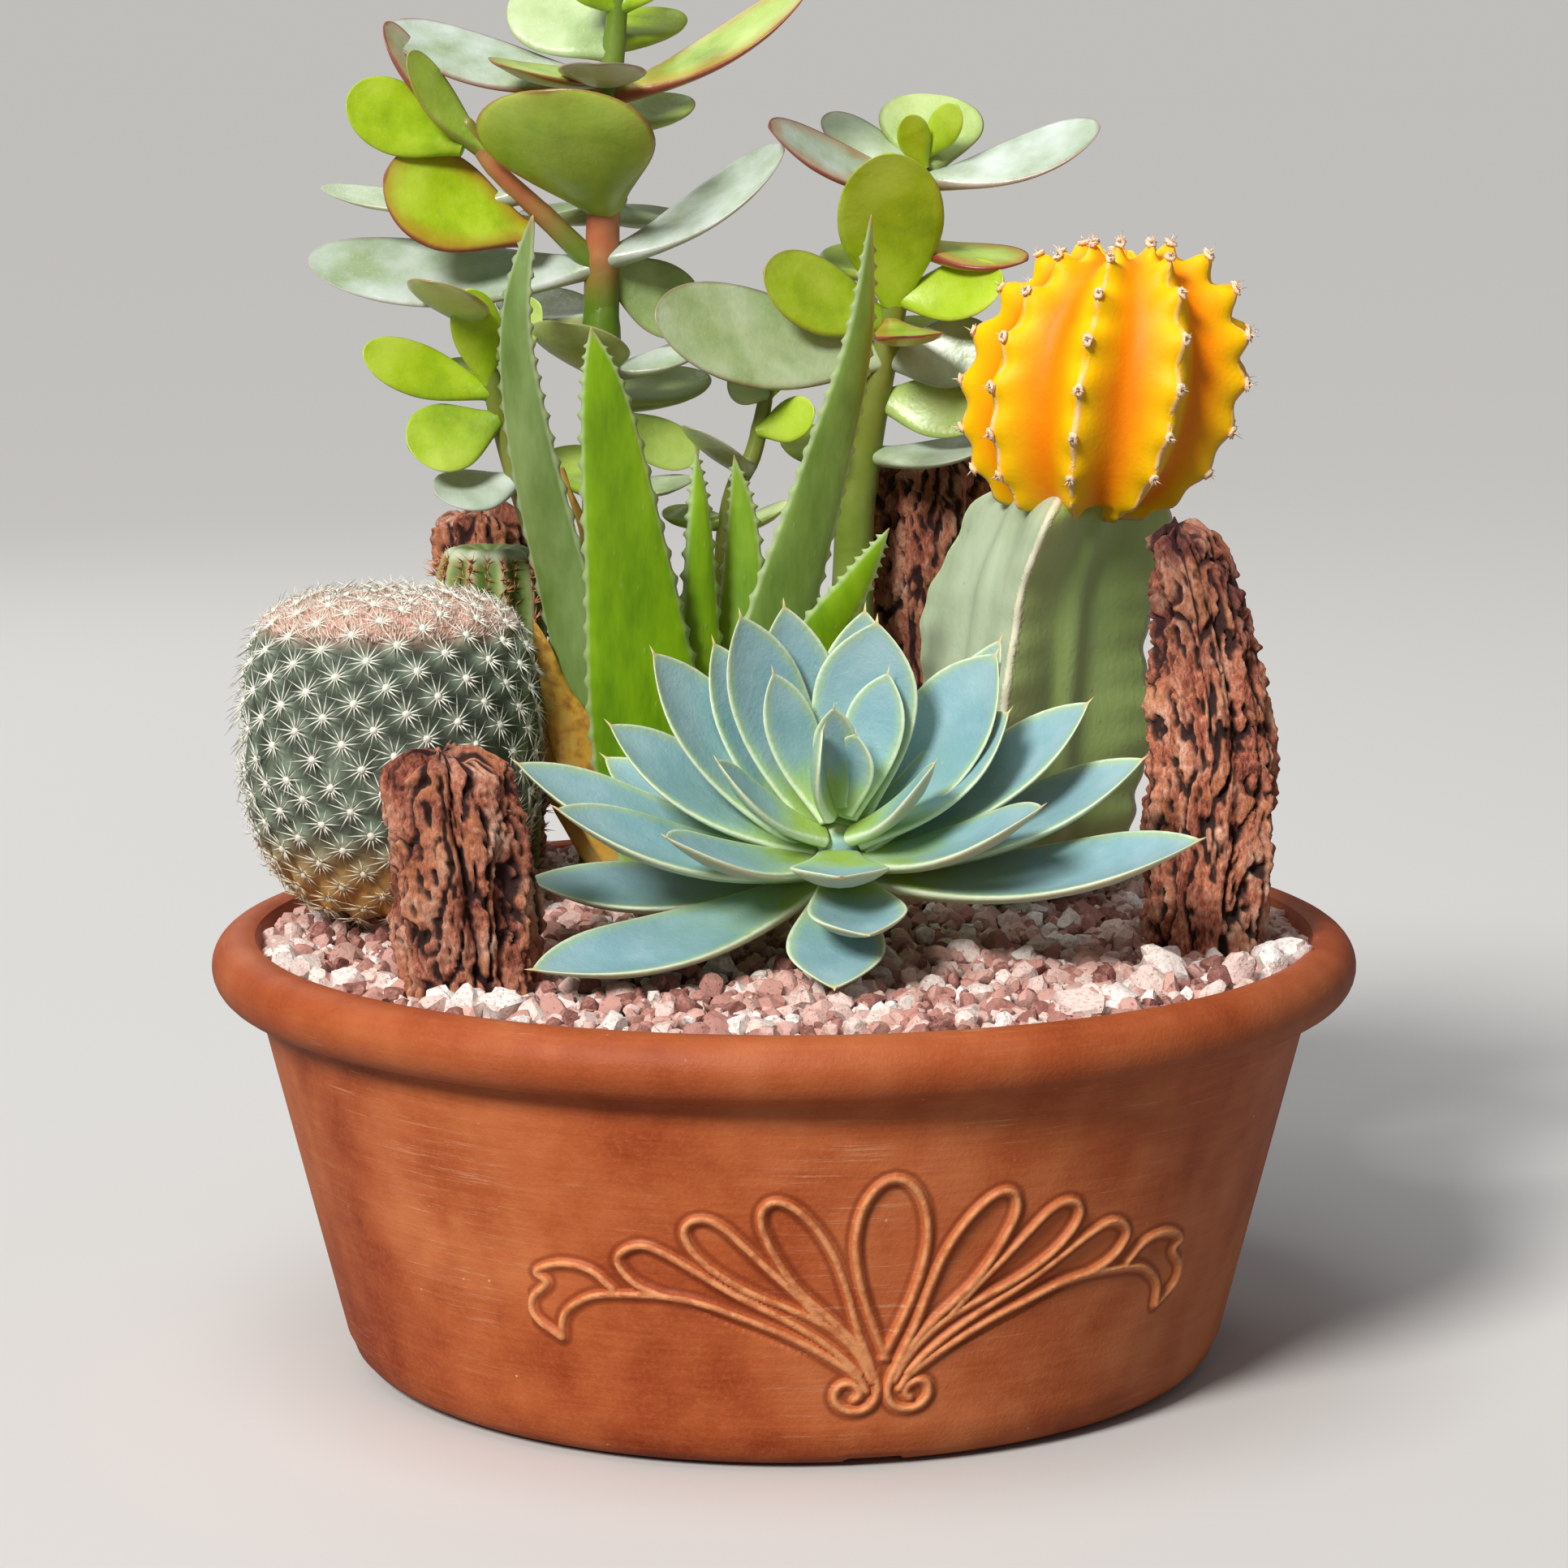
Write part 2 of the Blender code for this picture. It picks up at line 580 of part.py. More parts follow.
def head_areoles():
    """(point, outward, sideways, level) for each spine cluster along the rib crests."""
    spots = []
    for rib in range(HEAD_RIBS):
        around = HEAD_RIB_TURN + rib * TAU / HEAD_RIBS
        for level in range(4):
            point = head_point(around, math.pi * (level + HEAD_FIRST_AREOLE) / HEAD_AREOLES)
            side = Vector((-math.sin(around), math.cos(around), 0))
            spots.append((point, (point - HEAD_CENTRE).normalized(), side, level))
    return spots


def make_head(surface):
    """The grafted yellow scion, cut flat where it sits on the rootstock."""
    bm = bmesh.new()
    bmesh.ops.create_uvsphere(bm, u_segments=3 * HEAD_RIBS, v_segments=13, radius=1)
    for v in bm.verts:
        polar = math.acos(max(-1, min(1, v.co.z)))
        v.co = head_point(math.atan2(v.co.x, v.co.y) + HEAD_RIB_TURN, polar) * MM
    bmesh.ops.recalc_face_normals(bm, faces=bm.faces)
    shapes = [bm]
    for point, outward, side, level in head_areoles():
        for lean in ((0.8, -0.8) if level == 1 else (0,)):
            shapes.append(needle(point, outward + side * lean + Vector((0, 0, 0.3)), HEAD_SPINE, 0.55))
    head = fused("moon_cactus_head", shapes, surface)
    seat = bmesh.new()
    below = HEAD_CENTRE.copy()
    below.z = STOCK_TOP.z + FIT_GAP - 2 * HEAD_RADIUS
    bmesh.ops.create_cube(seat, size=4 * HEAD_RADIUS * MM, matrix=Matrix.Translation(below * MM))
    combine(head, [seat], "DIFFERENCE", "MANIFOLD")
    return finished(head, surface)


def globe_point(around, polar):
    """A point on the globe cactus, a blunt barrel, before its tubercles."""
    ring = abs(math.sin(polar)) ** (2 / GLOBE_SQUARED)
    high = math.copysign(abs(math.cos(polar)) ** (2 / GLOBE_SQUARED), math.cos(polar))
    foot = 1 - 0.26 * max(0, -high) ** 2
    return GLOBE_CENTRE + Vector((math.cos(around) * ring * GLOBE_RADIUS * foot,
                                  math.sin(around) * ring * GLOBE_RADIUS * foot,
                                  high * GLOBE_HALF_HEIGHT))


def globe_areoles(count):
    """(point, outward) of the tubercles, on a spiral from the crown down."""
    spots = []
    for i in range(count):
        polar = math.acos(1 - 1.82 * (i + 0.5) / count)
        point = globe_point(i * GOLDEN_ANGLE, polar)
        spots.append((point, (point - mix(GLOBE_CENTRE, point, 0.25)).normalized()))
    return spots


def make_globe(surface):
    """The white-spined globe cactus: a barrel raised into tubercles, with a star of spines on each."""
    spots = globe_areoles(GLOBE_AREOLES)
    bm = bmesh.new()
    bmesh.ops.create_uvsphere(bm, u_segments=22, v_segments=11, radius=1)
    for v in bm.verts:
        polar = math.acos(max(-1, min(1, v.co.z)))
        point = globe_point(math.atan2(v.co.y, v.co.x), polar)
        near = min((point - spot).length for spot, _ in spots)
        outward = (point - GLOBE_CENTRE).normalized()
        v.co = (point + outward * (1.6 * math.exp(-(near / 3.4) ** 2) - 0.8)) * MM
    x, y, _, _ = FOOTPRINTS["globe_cactus"]
    shapes = [bm, plug("globe_cactus", ROOT_BOTTOM_Z, ground(x, y) + 9)]
    for i, (point, outward) in enumerate(spots):
        if point.z < GRAVEL_EDGE_Z + 8:
            continue
        side = outward.orthogonal().normalized()
        for k in range(GLOBE_SPINES):
            turn = Matrix.Rotation((k / GLOBE_SPINES + i * 0.17) * TAU, 3, outward)
            shapes.append(needle(point, outward * 0.55 + turn @ side, GLOBE_SPINE, 0.6))
    return fused("globe_cactus", shapes, surface)


def make_rear_cactus(surface):
    """The small ribbed cactus behind the globe, with rust-coloured spines."""
    x, y, _, _ = FOOTPRINTS["rear_cactus"]
    low = ground(x, y) + 3
    middle_z, half = (low + REAR_TOP_Z) / 2, (REAR_TOP_Z - low) / 2

    def rib_point(around, polar):
        ring = math.sin(polar) ** 0.45
        ridge = 0.88 + 0.18 * math.cos(REAR_RIBS * around / 2) ** 2
        high = math.copysign(abs(math.cos(polar)) ** 0.7, math.cos(polar))
        return Vector((x + math.cos(around) * ring * ridge * REAR_RADIUS,
                       y + math.sin(around) * ring * ridge * REAR_RADIUS, middle_z + half * high))

    bm = bmesh.new()
    bmesh.ops.create_uvsphere(bm, u_segments=2 * REAR_RIBS, v_segments=7, radius=1)
    for v in bm.verts:
        v.co = rib_point(math.atan2(v.co.y, v.co.x), math.acos(max(-1, min(1, v.co.z)))) * MM
    shapes = [bm, plug("rear_cactus", ROOT_BOTTOM_Z, low + 4)]
    for rib in range(REAR_RIBS):
        around = rib * TAU / REAR_RIBS
        for polar in (0.6, 1.4):
            out = Vector((math.cos(around), math.sin(around), 0.7 if polar < 1 else 0.25))
            shapes.append(needle(rib_point(around, polar), out, 3.2, 0.55))
    return fused("rear_cactus", shapes, surface)


WOOD_SHAPES = {  # rings up the middle line as (x, y, z, radius), the seed of the furrows, flatness
    "wood_front": (((-57.5, -56, 86, 11.2), (-58, -56.5, 96, 12), (-59.5, -56.5, 112, 11.5),
                    (-61.5, -56, 126, 10)), 3.1, 0.78),
    "wood_right": (((78.5, -22, 86, 10.6), (79.5, -21, 104, 11.8), (78.5, -19, 124, 11.5), (75, -16, 145, 9.5),
                    (72, -13, 162, 8)), 8.4, 0.8),
    "wood_back_centre": (((31, 57, 90, 11), (31, 57, 112, 12), (31, 56, 140, 12),
                          (31, 55, 169, 11)), 5.7, 0.62),
    "wood_back_left": (((-57.5, 60.5, 86.5, 7), (-59, 61, 110, 8), (-61, 62, 135, 8.5),
                        (-62, 62, 158, 8)), 9.9, 0.72),
}
WOOD_SIDES = 12
WOOD_RINGS = 6
FURROW_DEPTH = 0.42
BROKEN_TOP = 5.0


def make_wood(name, surface):
    """A weathered piece of wood: a furrowed log up a middle line, broken off at its top."""
    rows, seed, flat = WOOD_SHAPES[name]
    path = smooth_path([row[:3] for row in rows])
    girth = smooth_path([(row[3], 0, 0) for row in rows])
    bm = ringed_cylinder(WOOD_SIDES, WOOD_RINGS)
    for v in bm.verts:
        t = v.co.z + 0.5
        around = math.atan2(v.co.y, v.co.x)
        furrow = noise.noise(Vector((3 * math.cos(around) + seed, 3 * math.sin(around), 1.5 * t)))
        radius = girth(t).x * (1 + FURROW_DEPTH * furrow * min(1, 0.3 + 3 * t))
        middle = path(t) + Vector((0, 0, BROKEN_TOP * noise.noise(Vector((seed, 2 * around, 0))))) * t ** 6
        v.co = (middle + Vector((math.cos(around), math.sin(around) * flat, 0)) * radius) * MM
    return fused(name, [bm, plug(name, WOOD_BOTTOM_Z, rows[0][2] + 4)], surface)


ALOE_LEAVES = (  # middle line from base to tip, width, face, toothed
    (((-21, 11, 95), (-33, 9, 112), (-41.5, 7, 146), (-48.5, 3, 178), (-50.6, 0, 200), (-47.2, -3, 220)),
     13.5, (-0.35, -0.9, 0.1), True),
    (((-18, 10, 95), (-26, 9, 120), (-30, 4, 152), (-34, -1, 184), (-36.5, -3, 199)),
     22.5, (0.1, -1, 0.2), True),
    (((-16, 15, 95), (-16.5, 14, 129), (-16.5, 12, 159), (-17, 11, 175)), 11, (0.3, -1, 0.2), True),
    (((-14, 17, 95), (-9, 19, 128), (-8, 20, 158), (-9.7, 18, 173)), 14, (-0.2, -1, 0.2), True),
    (((-12, 12, 95), (-3, 11, 135), (6.5, 8, 168), (14, 4, 196), (16.5, 1, 220)),
     17, (0.5, -0.85, 0.15), True),
    (((-10, 11, 95), (3, 7, 131), (13.8, 0, 150), (20, -5, 161)), 12.5, (0.3, -0.9, 0.4), True),
    (((-19, 17, 95), (-28, 21, 125), (-36, 22, 150), (-44, 24, 170)), 10, (0.5, 0.8, 0.4), False),
    (((-23, 13, 95), (-34.8, 12, 112), (-43.5, 13, 126), (-47.6, 14, 141)), 10, (-0.4, -0.8, 0.4), False),
)
ALOE_THICKNESS = 5.5
ALOE_RINGS = 12
TOOTH = 1.3


def make_aloe(surface):
    """The aloe: a fan of long leaves from one short stem, their edges saw-toothed."""
    shapes = [plug("aloe", ROOT_BOTTOM_Z, 97)]
    for points, width, face, toothed in ALOE_LEAVES:
        leaf = blade(smooth_path(points), face, width, ALOE_THICKNESS, ALOE_SHAPE, 6,
                     ALOE_RINGS if toothed else 7, even=True, cup=0.12, teeth=TOOTH if toothed else 0)
        shapes.append(leaf)
    return fused("aloe", shapes, surface)


# Jade plants: each stem's points and its two radii
JADE_STEMS = {
    "jade_left": (
        (((-36, 33, 84), (-36, 32, 110), (-36, 31, 150), (-35.6, 30, 209), (-34, 28, 240), (-31, 28, 270)),
         (5.2, 1.8)),
        (((-36, 30, 208), (-47, 28, 219), (-57, 25, 229), (-62, 24, 238)), (2.4, 1.3)),
        (((-36, 32, 128), (-46, 31, 150), (-52, 30, 166), (-57, 28, 185), (-60, 28, 202)), (3.4, 1.6)),
    ),
    "jade_right": (
        (((14, 42, 84), (13.8, 42, 148), (16, 42, 171), (20, 41, 192), (23, 40, 206), (28, 41, 234)),
         (4.6, 1.8)),
    ),
    "jade_low": (
        (((-13, 37, 84), (-13, 37, 120), (-11, 36, 159), (-6, 35, 172), (-3, 34, 186)), (2.7, 1.4)),
    ),
}

UP = (0, -0.3, 1)
TOWARD = (0, -1, 0.45)
# Leaves: where each springs from its stem, its tip, its width and the way its upper side faces
JADE_LEAVES = {
    "jade_left": (
        ((-35, 28, 221), (-46, 3, 243), 36, (0.15, 0.6, 1)),
        ((-38, 29, 212), (-77, 19, 226), 20, (0.35, -1, 0.6)),
        ((-36, 30, 209), (-93, 28, 210), 20, (0, -0.8, 1)),
        ((-35, 29, 210), (0, 30, 232), 18, (-0.4, -0.5, 1)),
        ((-35, 30, 220), (-47, 56, 220), 20, UP),
        ((-35, 30, 220), (-22, 58, 219), 20, UP),
        ((-33, 28, 242), (5, 24, 263), 17, (-0.4, -0.5, 1)),
        ((-34, 28, 244), (-77, 30, 255), 17, (0.2, -0.7, 1)),
        ((-34, 28, 246), (-55, 10, 248), 17, UP),
        ((-34, 28, 246), (-35, 1, 248), 17, UP),
        ((-33, 28, 250), (-52, 40, 263), 18, TOWARD),
        ((-33, 28, 252), (-24, 52, 259), 16, UP),
        ((-62, 24, 232), (-84, 20, 242), 15, TOWARD),
        ((-58, 25, 231), (-72, 17, 250), 11, (0.6, -0.6, 0.5)),
        ((-60, 25, 234), (-77, 26, 256), 11, (0.7, -0.5, 0.6)),
        ((-50, 27, 223), (-91, 36, 224), 12, UP),
        ((-32, 28, 258), (-19, 22, 272), 9, TOWARD),
        ((-32, 28, 258), (-43, 22, 269), 9, TOWARD),
        ((-31, 28, 263), (-18, 32, 279), 8, TOWARD),
        ((-31, 28, 265), (-37, 34, 280), 8, TOWARD),
        ((-31, 28, 266), (-28, 23, 285), 7, TOWARD),
        ((-36, 30, 210), (-17, 38, 198), 15, TOWARD),
        ((-36, 30, 189), (-42, 9, 199), 20, UP),
        ((-36, 30, 188), (-13, 34, 195), 11, UP),
        ((-36, 31, 180), (-17, 31, 171), 10, TOWARD),
        ((-36, 31, 166), (-18, 27, 167), 10, UP),
        ((-36, 31, 198), (-54, 58, 203), 19, UP),
        ((-36, 31, 182), (-18, 57, 187), 18, UP),
        ((-36, 31, 164), (-44, 50, 172), 15, UP),
        ((-36, 30, 236), (-21, 55, 242), 16, UP),
        ((-60, 28, 199), (-68, 8, 207), 16, UP),
        ((-58, 28, 186), (-61, 18, 205), 10, TOWARD),
        ((-57, 28, 184), (-82, 23, 193), 11, TOWARD),
        ((-56, 28, 179), (-73, 19, 174), 15, TOWARD),
        ((-52, 30, 167), (-68, 20, 165), 13, (0, -0.8, 1)),
        ((-58, 28, 191), (-47, 17, 202), 10, TOWARD),
        ((-57, 28, 184), (-66, 44, 190), 12, UP),
        ((-60, 28, 200), (-57, 40, 212), 10, TOWARD),
    ),
    "jade_right": (
        ((22, 40, 201), (20, 21, 231), 21, TOWARD),
        ((28, 41, 227), (30, 53, 242), 21, TOWARD),
        ((27.7, 40, 228), (24, 34, 238), 7, TOWARD),
        ((28, 41, 230), (34, 35, 240), 7, TOWARD),
        ((28, 40, 225), (62, 36, 236), 15, (-0.3, -0.7, 1)),
        ((27, 40, 224), (-3, 25, 236), 15, (0.3, -0.7, 1)),
        ((27, 40, 227), (8, 48, 238), 12, (0.3, -0.6, 0.7)),
        ((21, 41, 197), (-4, 27, 208), 16, TOWARD),
        ((25, 40, 213), (48, 34, 210), 15, UP),
        ((22, 40, 202), (43, 28, 206), 13, TOWARD),
        ((21, 40, 197), (26, 15, 196), 14, UP),
        ((20, 41, 190), (42, 35, 193), 15, TOWARD),
        ((18, 42, 182), (41, 33, 181), 14, TOWARD),
        ((16, 42, 171), (42, 35, 174), 15, UP),
        ((20, 41, 190), (-25, 16, 200), 21, TOWARD),
        ((22, 40, 206), (13, 64, 212), 18, UP),
        ((20, 41, 190), (30, 66, 197), 18, UP),
        ((15, 42, 168), (3, 62, 175), 16, UP),
    ),
    "jade_low": (
        ((-7, 35, 169), (-18, 20, 178), 13, UP),
        ((-5, 34, 176), (6, 27, 181), 9, TOWARD),
        ((-3, 34, 183), (-11, 32, 187), 8, TOWARD),
        ((-11, 36, 158), (-24, 42, 160), 10, UP),
        ((-11, 36, 157), (1, 32, 162), 9, UP),
        ((-3, 34, 184), (-2, 44, 190), 9, UP),
    ),
}
JADE_THICKNESS = 2.8
SMALL_LEAF = 16.0


def make_jade(name, surface):
    """A jade plant: its stems and its leaves in opposite pairs."""
    shapes = [plug(name, ROOT_BOTTOM_Z, 92)]
    shapes += [limb(points, radii) for points, radii in JADE_STEMS[name]]
    for root, tip, width, face in JADE_LEAVES[name]:
        thick = JADE_THICKNESS + width * 0.09
        sides, rings = (6, 5) if width > SMALL_LEAF else (4, 5)
        shapes.append(blade(arched(root, tip, face, 0.07), face, width, thick, JADE_SHAPE, sides, rings,
                            cup=0.12))
    return fused(name, shapes, surface)


def clear_scene():
    for old in list(bpy.data.objects):
        bpy.data.objects.remove(old)


def build():
    clear_scene()
    wood = material("weathered_wood", (0.22, 0.085, 0.05), 0.9)
    jade = material("jade_leaf", (0.2, 0.34, 0.06), 0.4)
    make_bowl(material("terracotta", (0.42, 0.13, 0.055), 0.7))
    make_soil(material("potting_soil", (0.05, 0.035, 0.025), 0.95))
    make_gravel(material("pink_gravel", (0.6, 0.4, 0.37), 0.85))
    make_echeveria(material("echeveria_leaf", (0.3, 0.5, 0.5), 0.55))
    make_stock(material("rootstock", (0.2, 0.33, 0.12), 0.5))
    make_head(material("moon_scion", (0.95, 0.42, 0.02), 0.45))
    make_globe(material("globe_skin", (0.24, 0.27, 0.2), 0.7))
    make_rear_cactus(material("rear_cactus_skin", (0.25, 0.32, 0.13), 0.7))
    for name in WOODS:
        make_wood(name, wood)
    make_aloe(material("aloe_leaf", (0.2, 0.4, 0.03), 0.4))
    for name in JADE_STEMS:
        make_jade(name, jade)


build()
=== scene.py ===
# Looks of the potted succulent arrangement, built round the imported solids.
# Each plant, stone and piece of wood is made again in its solid's place, with finer detail: leaf
# margins, spines, areoles, bark furrows, the bowl's relief and loose stones.
# Sizes are in millimetres; the meshes are written in metres, in the solids' own frame.

import random
from math import acos, atan2, copysign, cos, exp, hypot, pi, radians, sin, sqrt, tau

import bmesh
import bpy
from mathutils import Matrix, Vector, kdtree, noise


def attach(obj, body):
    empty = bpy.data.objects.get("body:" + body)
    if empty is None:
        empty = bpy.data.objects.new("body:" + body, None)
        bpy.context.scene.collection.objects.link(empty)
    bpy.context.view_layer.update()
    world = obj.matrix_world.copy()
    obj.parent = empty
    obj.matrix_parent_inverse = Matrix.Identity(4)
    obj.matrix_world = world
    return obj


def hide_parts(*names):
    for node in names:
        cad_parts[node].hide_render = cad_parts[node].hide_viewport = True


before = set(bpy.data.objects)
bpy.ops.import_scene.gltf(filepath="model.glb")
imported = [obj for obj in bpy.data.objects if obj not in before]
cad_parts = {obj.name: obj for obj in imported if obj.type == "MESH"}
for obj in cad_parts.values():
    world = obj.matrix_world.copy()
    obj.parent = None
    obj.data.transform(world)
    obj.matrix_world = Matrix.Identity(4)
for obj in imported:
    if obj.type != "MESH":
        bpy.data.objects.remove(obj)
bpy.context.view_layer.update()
random.seed(7)

MM = 0.001
GOLDEN_ANGLE = radians(137.508)
UP = Vector((0, 0, 1))


# Arithmetic on material values

class Value:
    """One value in a material. Arithmetic on it adds Math nodes."""

    def __init__(self, nodes, socket):
        self.nodes = nodes
        self.socket = socket

    def maths(self, operation, first, second):
        return self.nodes.node("Math", {"operation": operation}, {0: first, 1: second})

    def __add__(self, other):
        return self.maths("ADD", self, other)

    def __sub__(self, other):
        return self.maths("SUBTRACT", self, other)

    def __rsub__(self, other):
        return self.maths("SUBTRACT", other, self)

    def __mul__(self, other):
        return self.maths("MULTIPLY", self, other)

    __radd__ = __add__
    __rmul__ = __mul__


class Nodes:
    """A tree of nodes, added one call at a time."""

    def __init__(self, tree):
        self.tree = tree

    def node(self, kind, settings=None, sockets=None, output=0):
        """Adds a node, sets it, and gives its value. stops are a colour ramp's."""
        made = self.tree.nodes.new("ShaderNode" + kind)
        for key, value in (settings or {}).items():
            if key == "stops":
                self.set_stops(made.color_ramp, value)
            else:
                setattr(made, key, value)
        for key, value in (sockets or {}).items():
            self.give(made.inputs[key], value)
        return Value(self, made.outputs[output])

    def set_stops(self, band, stops):
        while len(band.elements) < len(stops):
            band.elements.new(0.5)
        for stop, (position, colour) in zip(band.elements, stops):
            stop.position = position
            stop.color = (*colour, 1)

    def give(self, socket, value):
        if isinstance(value, Value):
            self.tree.links.new(value.socket, socket)
        elif socket.type == "RGBA" and len(value) == 3:
            socket.default_value = (*value, 1)
        else:
            socket.default_value = value

    def show(self, output, seen, lit):
        """Ends the tree: the camera meets one shader, and every other ray another."""
        camera = self.node("LightPath", output="Is Camera Ray")
        both = self.node("MixShader", None, {0: camera, 1: lit, 2: seen})
        self.give(self.tree.nodes[output].inputs["Surface"], both)


class Finish(Nodes):
    """A surface finish: a material, and its colour so far."""

    def __init__(self, name, fixed):
        self.material = bpy.data.materials.new(name)
        self.material.use_nodes = True
        super().__init__(self.material.node_tree)
        self.shader = self.tree.nodes["Principled BSDF"]
        for label, value in fixed.items():
            self.wire(label, value)
        self.place = self.node("TexCoord", output="Object")

    def wire(self, label, value):
        self.give(self.shader.inputs[label], value)

    def wear(self, name):
        """A number stored on the piece's corners."""
        return self.node("Attribute", {"attribute_name": name}, output="Fac")

    def wears(self, *names):
        return [self.wear(name) for name in names]

    def height(self):
        """Height above the table, in metres."""
        return self.node("SeparateXYZ", None, {0: self.place}, "Z")

    def grain(self, size, detail=3, stretch=(1, 1, 1), roughness=0.5, swirl=0, turn=(0, 0, 0)):
        """Soft noise from 0 to 1. Its blotches are about size millimetres, longer where stretch is low."""
        spot = self.node("Mapping", None, {"Vector": self.place, "Rotation": turn, "Scale": stretch})
        return self.node("TexNoise", None, {"Vector": spot, "Scale": 1000 / size, "Detail": detail,
                                            "Roughness": roughness, "Distortion": swirl})

    def cells(self, size, stretch=(1, 1, 1)):
        """The distance from the middles of cells of about size millimetres."""
        spot = self.node("Mapping", None, {"Vector": self.place, "Scale": stretch})
        return self.node("TexVoronoi", None, {"Vector": spot, "Scale": 1000 / size}, "Distance")

    def band(self, value, low, high, start=0, end=1):
        """A smooth change from start to end while the value goes from low to high."""
        return self.node("MapRange", {"interpolation_type": "SMOOTHSTEP"},
                         {0: value, 1: low, 2: high, 3: start, 4: end})

    def ramp(self, value, *stops):
        return self.node("ValToRGB", {"stops": stops}, {0: value})

    def blend(self, share, first, second):
        """Two colours mixed."""
        return self.node("Mix", {"data_type": "RGBA"}, {0: share, 6: first, 7: second}, 2)

    def coat(self, value, *stops):
        """Sets the colour so far: a colour, or a value with the stops of its ramp."""
        self.colour = self.ramp(value, *stops) if stops else value
        self.wire("Base Color", self.colour)

    def tint(self, share, colour):
        """Lays a colour over the colour so far."""
        self.coat(self.blend(share, self.colour, colour))

    def relief(self, height, depth):
        """Small relief in the shading, depth millimetres high."""
        self.wire("Normal", self.node("Bump", None, {"Height": height, "Distance": depth * MM}))


# Shapes

def mix(a, b, t):
    return a + (b - a) * t


def ease(low, high, value):
    """0 at low, 1 at high, smooth between. Low may be the greater of the two."""
    t = max(0, min(1, (value - low) / (high - low)))
    return t * t * (3 - 2 * t)


def heading(angle, rise=0):
    """The level direction at an angle round Z, or one that rises."""
    return Vector((cos(angle), sin(angle), rise))


def angles(corner):
    """A ball's corner as its angle round Z and its angle down from the top."""
    return atan2(corner.y, corner.x), acos(max(-1, min(1, corner.z)))


def aimed(direction):
    """The turn that points Z along a direction."""
    return Vector(direction).to_track_quat("Z", "Y").to_matrix()


def random_turn():
    axis = Vector([random.gauss(0, 1) for _ in range(3)]).normalized()
    return Matrix.Rotation(random.uniform(0, tau), 3, axis)


def smooth_path(points):
    """A curve through the points, as a function of 0 to 1."""
    knots = [Vector(p) for p in points]
    knots = [2 * knots[0] - knots[1], *knots, 2 * knots[-1] - knots[-2]]
    spans = len(knots) - 3

    def at(t):
        place = min(max(t, 0.0), 0.9999) * spans
        i = int(place)
        u = place - i
        a, b, c, d = knots[i:i + 4]
        return 0.5 * ((2 * b) + (c - a) * u + (2 * a - 5 * b + 4 * c - d) * u * u
                      + (3 * b - a - 3 * c + d) * u ** 3)

    return at


def arched(base, tip, face, arch):
    """A path from base to tip that bulges away from its face, by arch of its length."""
    base = Vector(base)
    tip = Vector(tip)
    bend = (base + tip) / 2 - 2 * Vector(face).normalized() * (tip - base).length * arch
    return lambda t: base * (1 - t) ** 2 + bend * 2 * t * (1 - t) + tip * t * t


def nearest(spots):
    """A search tree that finds the nearest of the spots."""
    tree = kdtree.KDTree(len(spots))
    for i, spot in enumerate(spots):
        tree.insert(spot, i)
    tree.balance()
    return tree


def ball(sides, rings):
    """A round body to be moved into shape."""
    bm = bmesh.new()
    bmesh.ops.create_uvsphere(bm, u_segments=sides, v_segments=rings, radius=1)
    return bm


def chip(fineness):
    bm = bmesh.new()
    bmesh.ops.create_icosphere(bm, subdivisions=fineness, radius=1)
    return bm


def spike():
    """A three-sided needle from 0 to 1 up Z."""
    bm = bmesh.new()
    bmesh.ops.create_cone(bm, cap_ends=True, segments=3, radius1=1, radius2=0, depth=1,
                          matrix=Matrix.Translation((0, 0, 0.5)))
    bmesh.ops.remove_doubles(bm, verts=bm.verts, dist=1e-5)
    return bm


def repeated(template, copies, labels):
    """One mesh of a small shape repeated. A copy is a function that turns a corner of the shape into
    its place and its numbers, which the labels name."""
    mesh = bpy.data.meshes.new("template")
    template.to_mesh(mesh)
    template.free()
    bm = bmesh.new()
    for _ in copies:
        bm.from_mesh(mesh)
    layers = [bm.verts.layers.float.new(label) for label in labels]
    corners = len(mesh.vertices)
    for number, v in enumerate(bm.verts):
        spot, values = copies[number // corners](v.co)
        v.co = spot * MM
        for layer, value in zip(layers, values):
            v[layer] = value
    bpy.data.meshes.remove(mesh)
    return bm


def joined(*parts):
    """Several meshes with the same labels as one."""
    whole = bmesh.new()
    mesh = bpy.data.meshes.new("joined")
    for part in parts:
        part.to_mesh(mesh)
        part.free()
        whole.from_mesh(mesh)
    bpy.data.meshes.remove(mesh)
    return whole


def needle(foot, direction, length, radius, value):
    """A thin spine, as a copy of the spike."""
    turn = aimed(direction)
    size = Vector((radius, radius, length))
    return lambda corner: (foot + turn @ (corner * size), (value,))


def placed(name, data):
    """Puts a mesh, a light or a camera in the scene."""
    made = bpy.data.objects.new(name, data)
    bpy.context.scene.collection.objects.link(made)
    return made


def surfaced(name, bm, finish):
    """Puts a finished mesh in the scene."""
    mesh = bpy.data.meshes.new(name)
    bm.to_mesh(mesh)
    bm.free()
    mesh.materials.append(finish.material)
    return placed(name, mesh)


def piece(name, bm, finish, node, crease=None):
    """Makes a mesh a piece of the object, standing for a solid."""
    made = surfaced(name, bm, finish)
    made.data.shade_smooth()
    if crease:
        made.data.set_sharp_from_angle(angle=radians(crease))
    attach(made, "root")
    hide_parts(node)


# Leaves

LEAF_LABELS = ("edge", "along", "upper", "tone", "blush")
TOOTH_PITCH = 4.4
TOOTH_REACH = (0.06, 0.94)  # where the teeth start and end along a leaf
STEM_RING_PITCH = 13.0


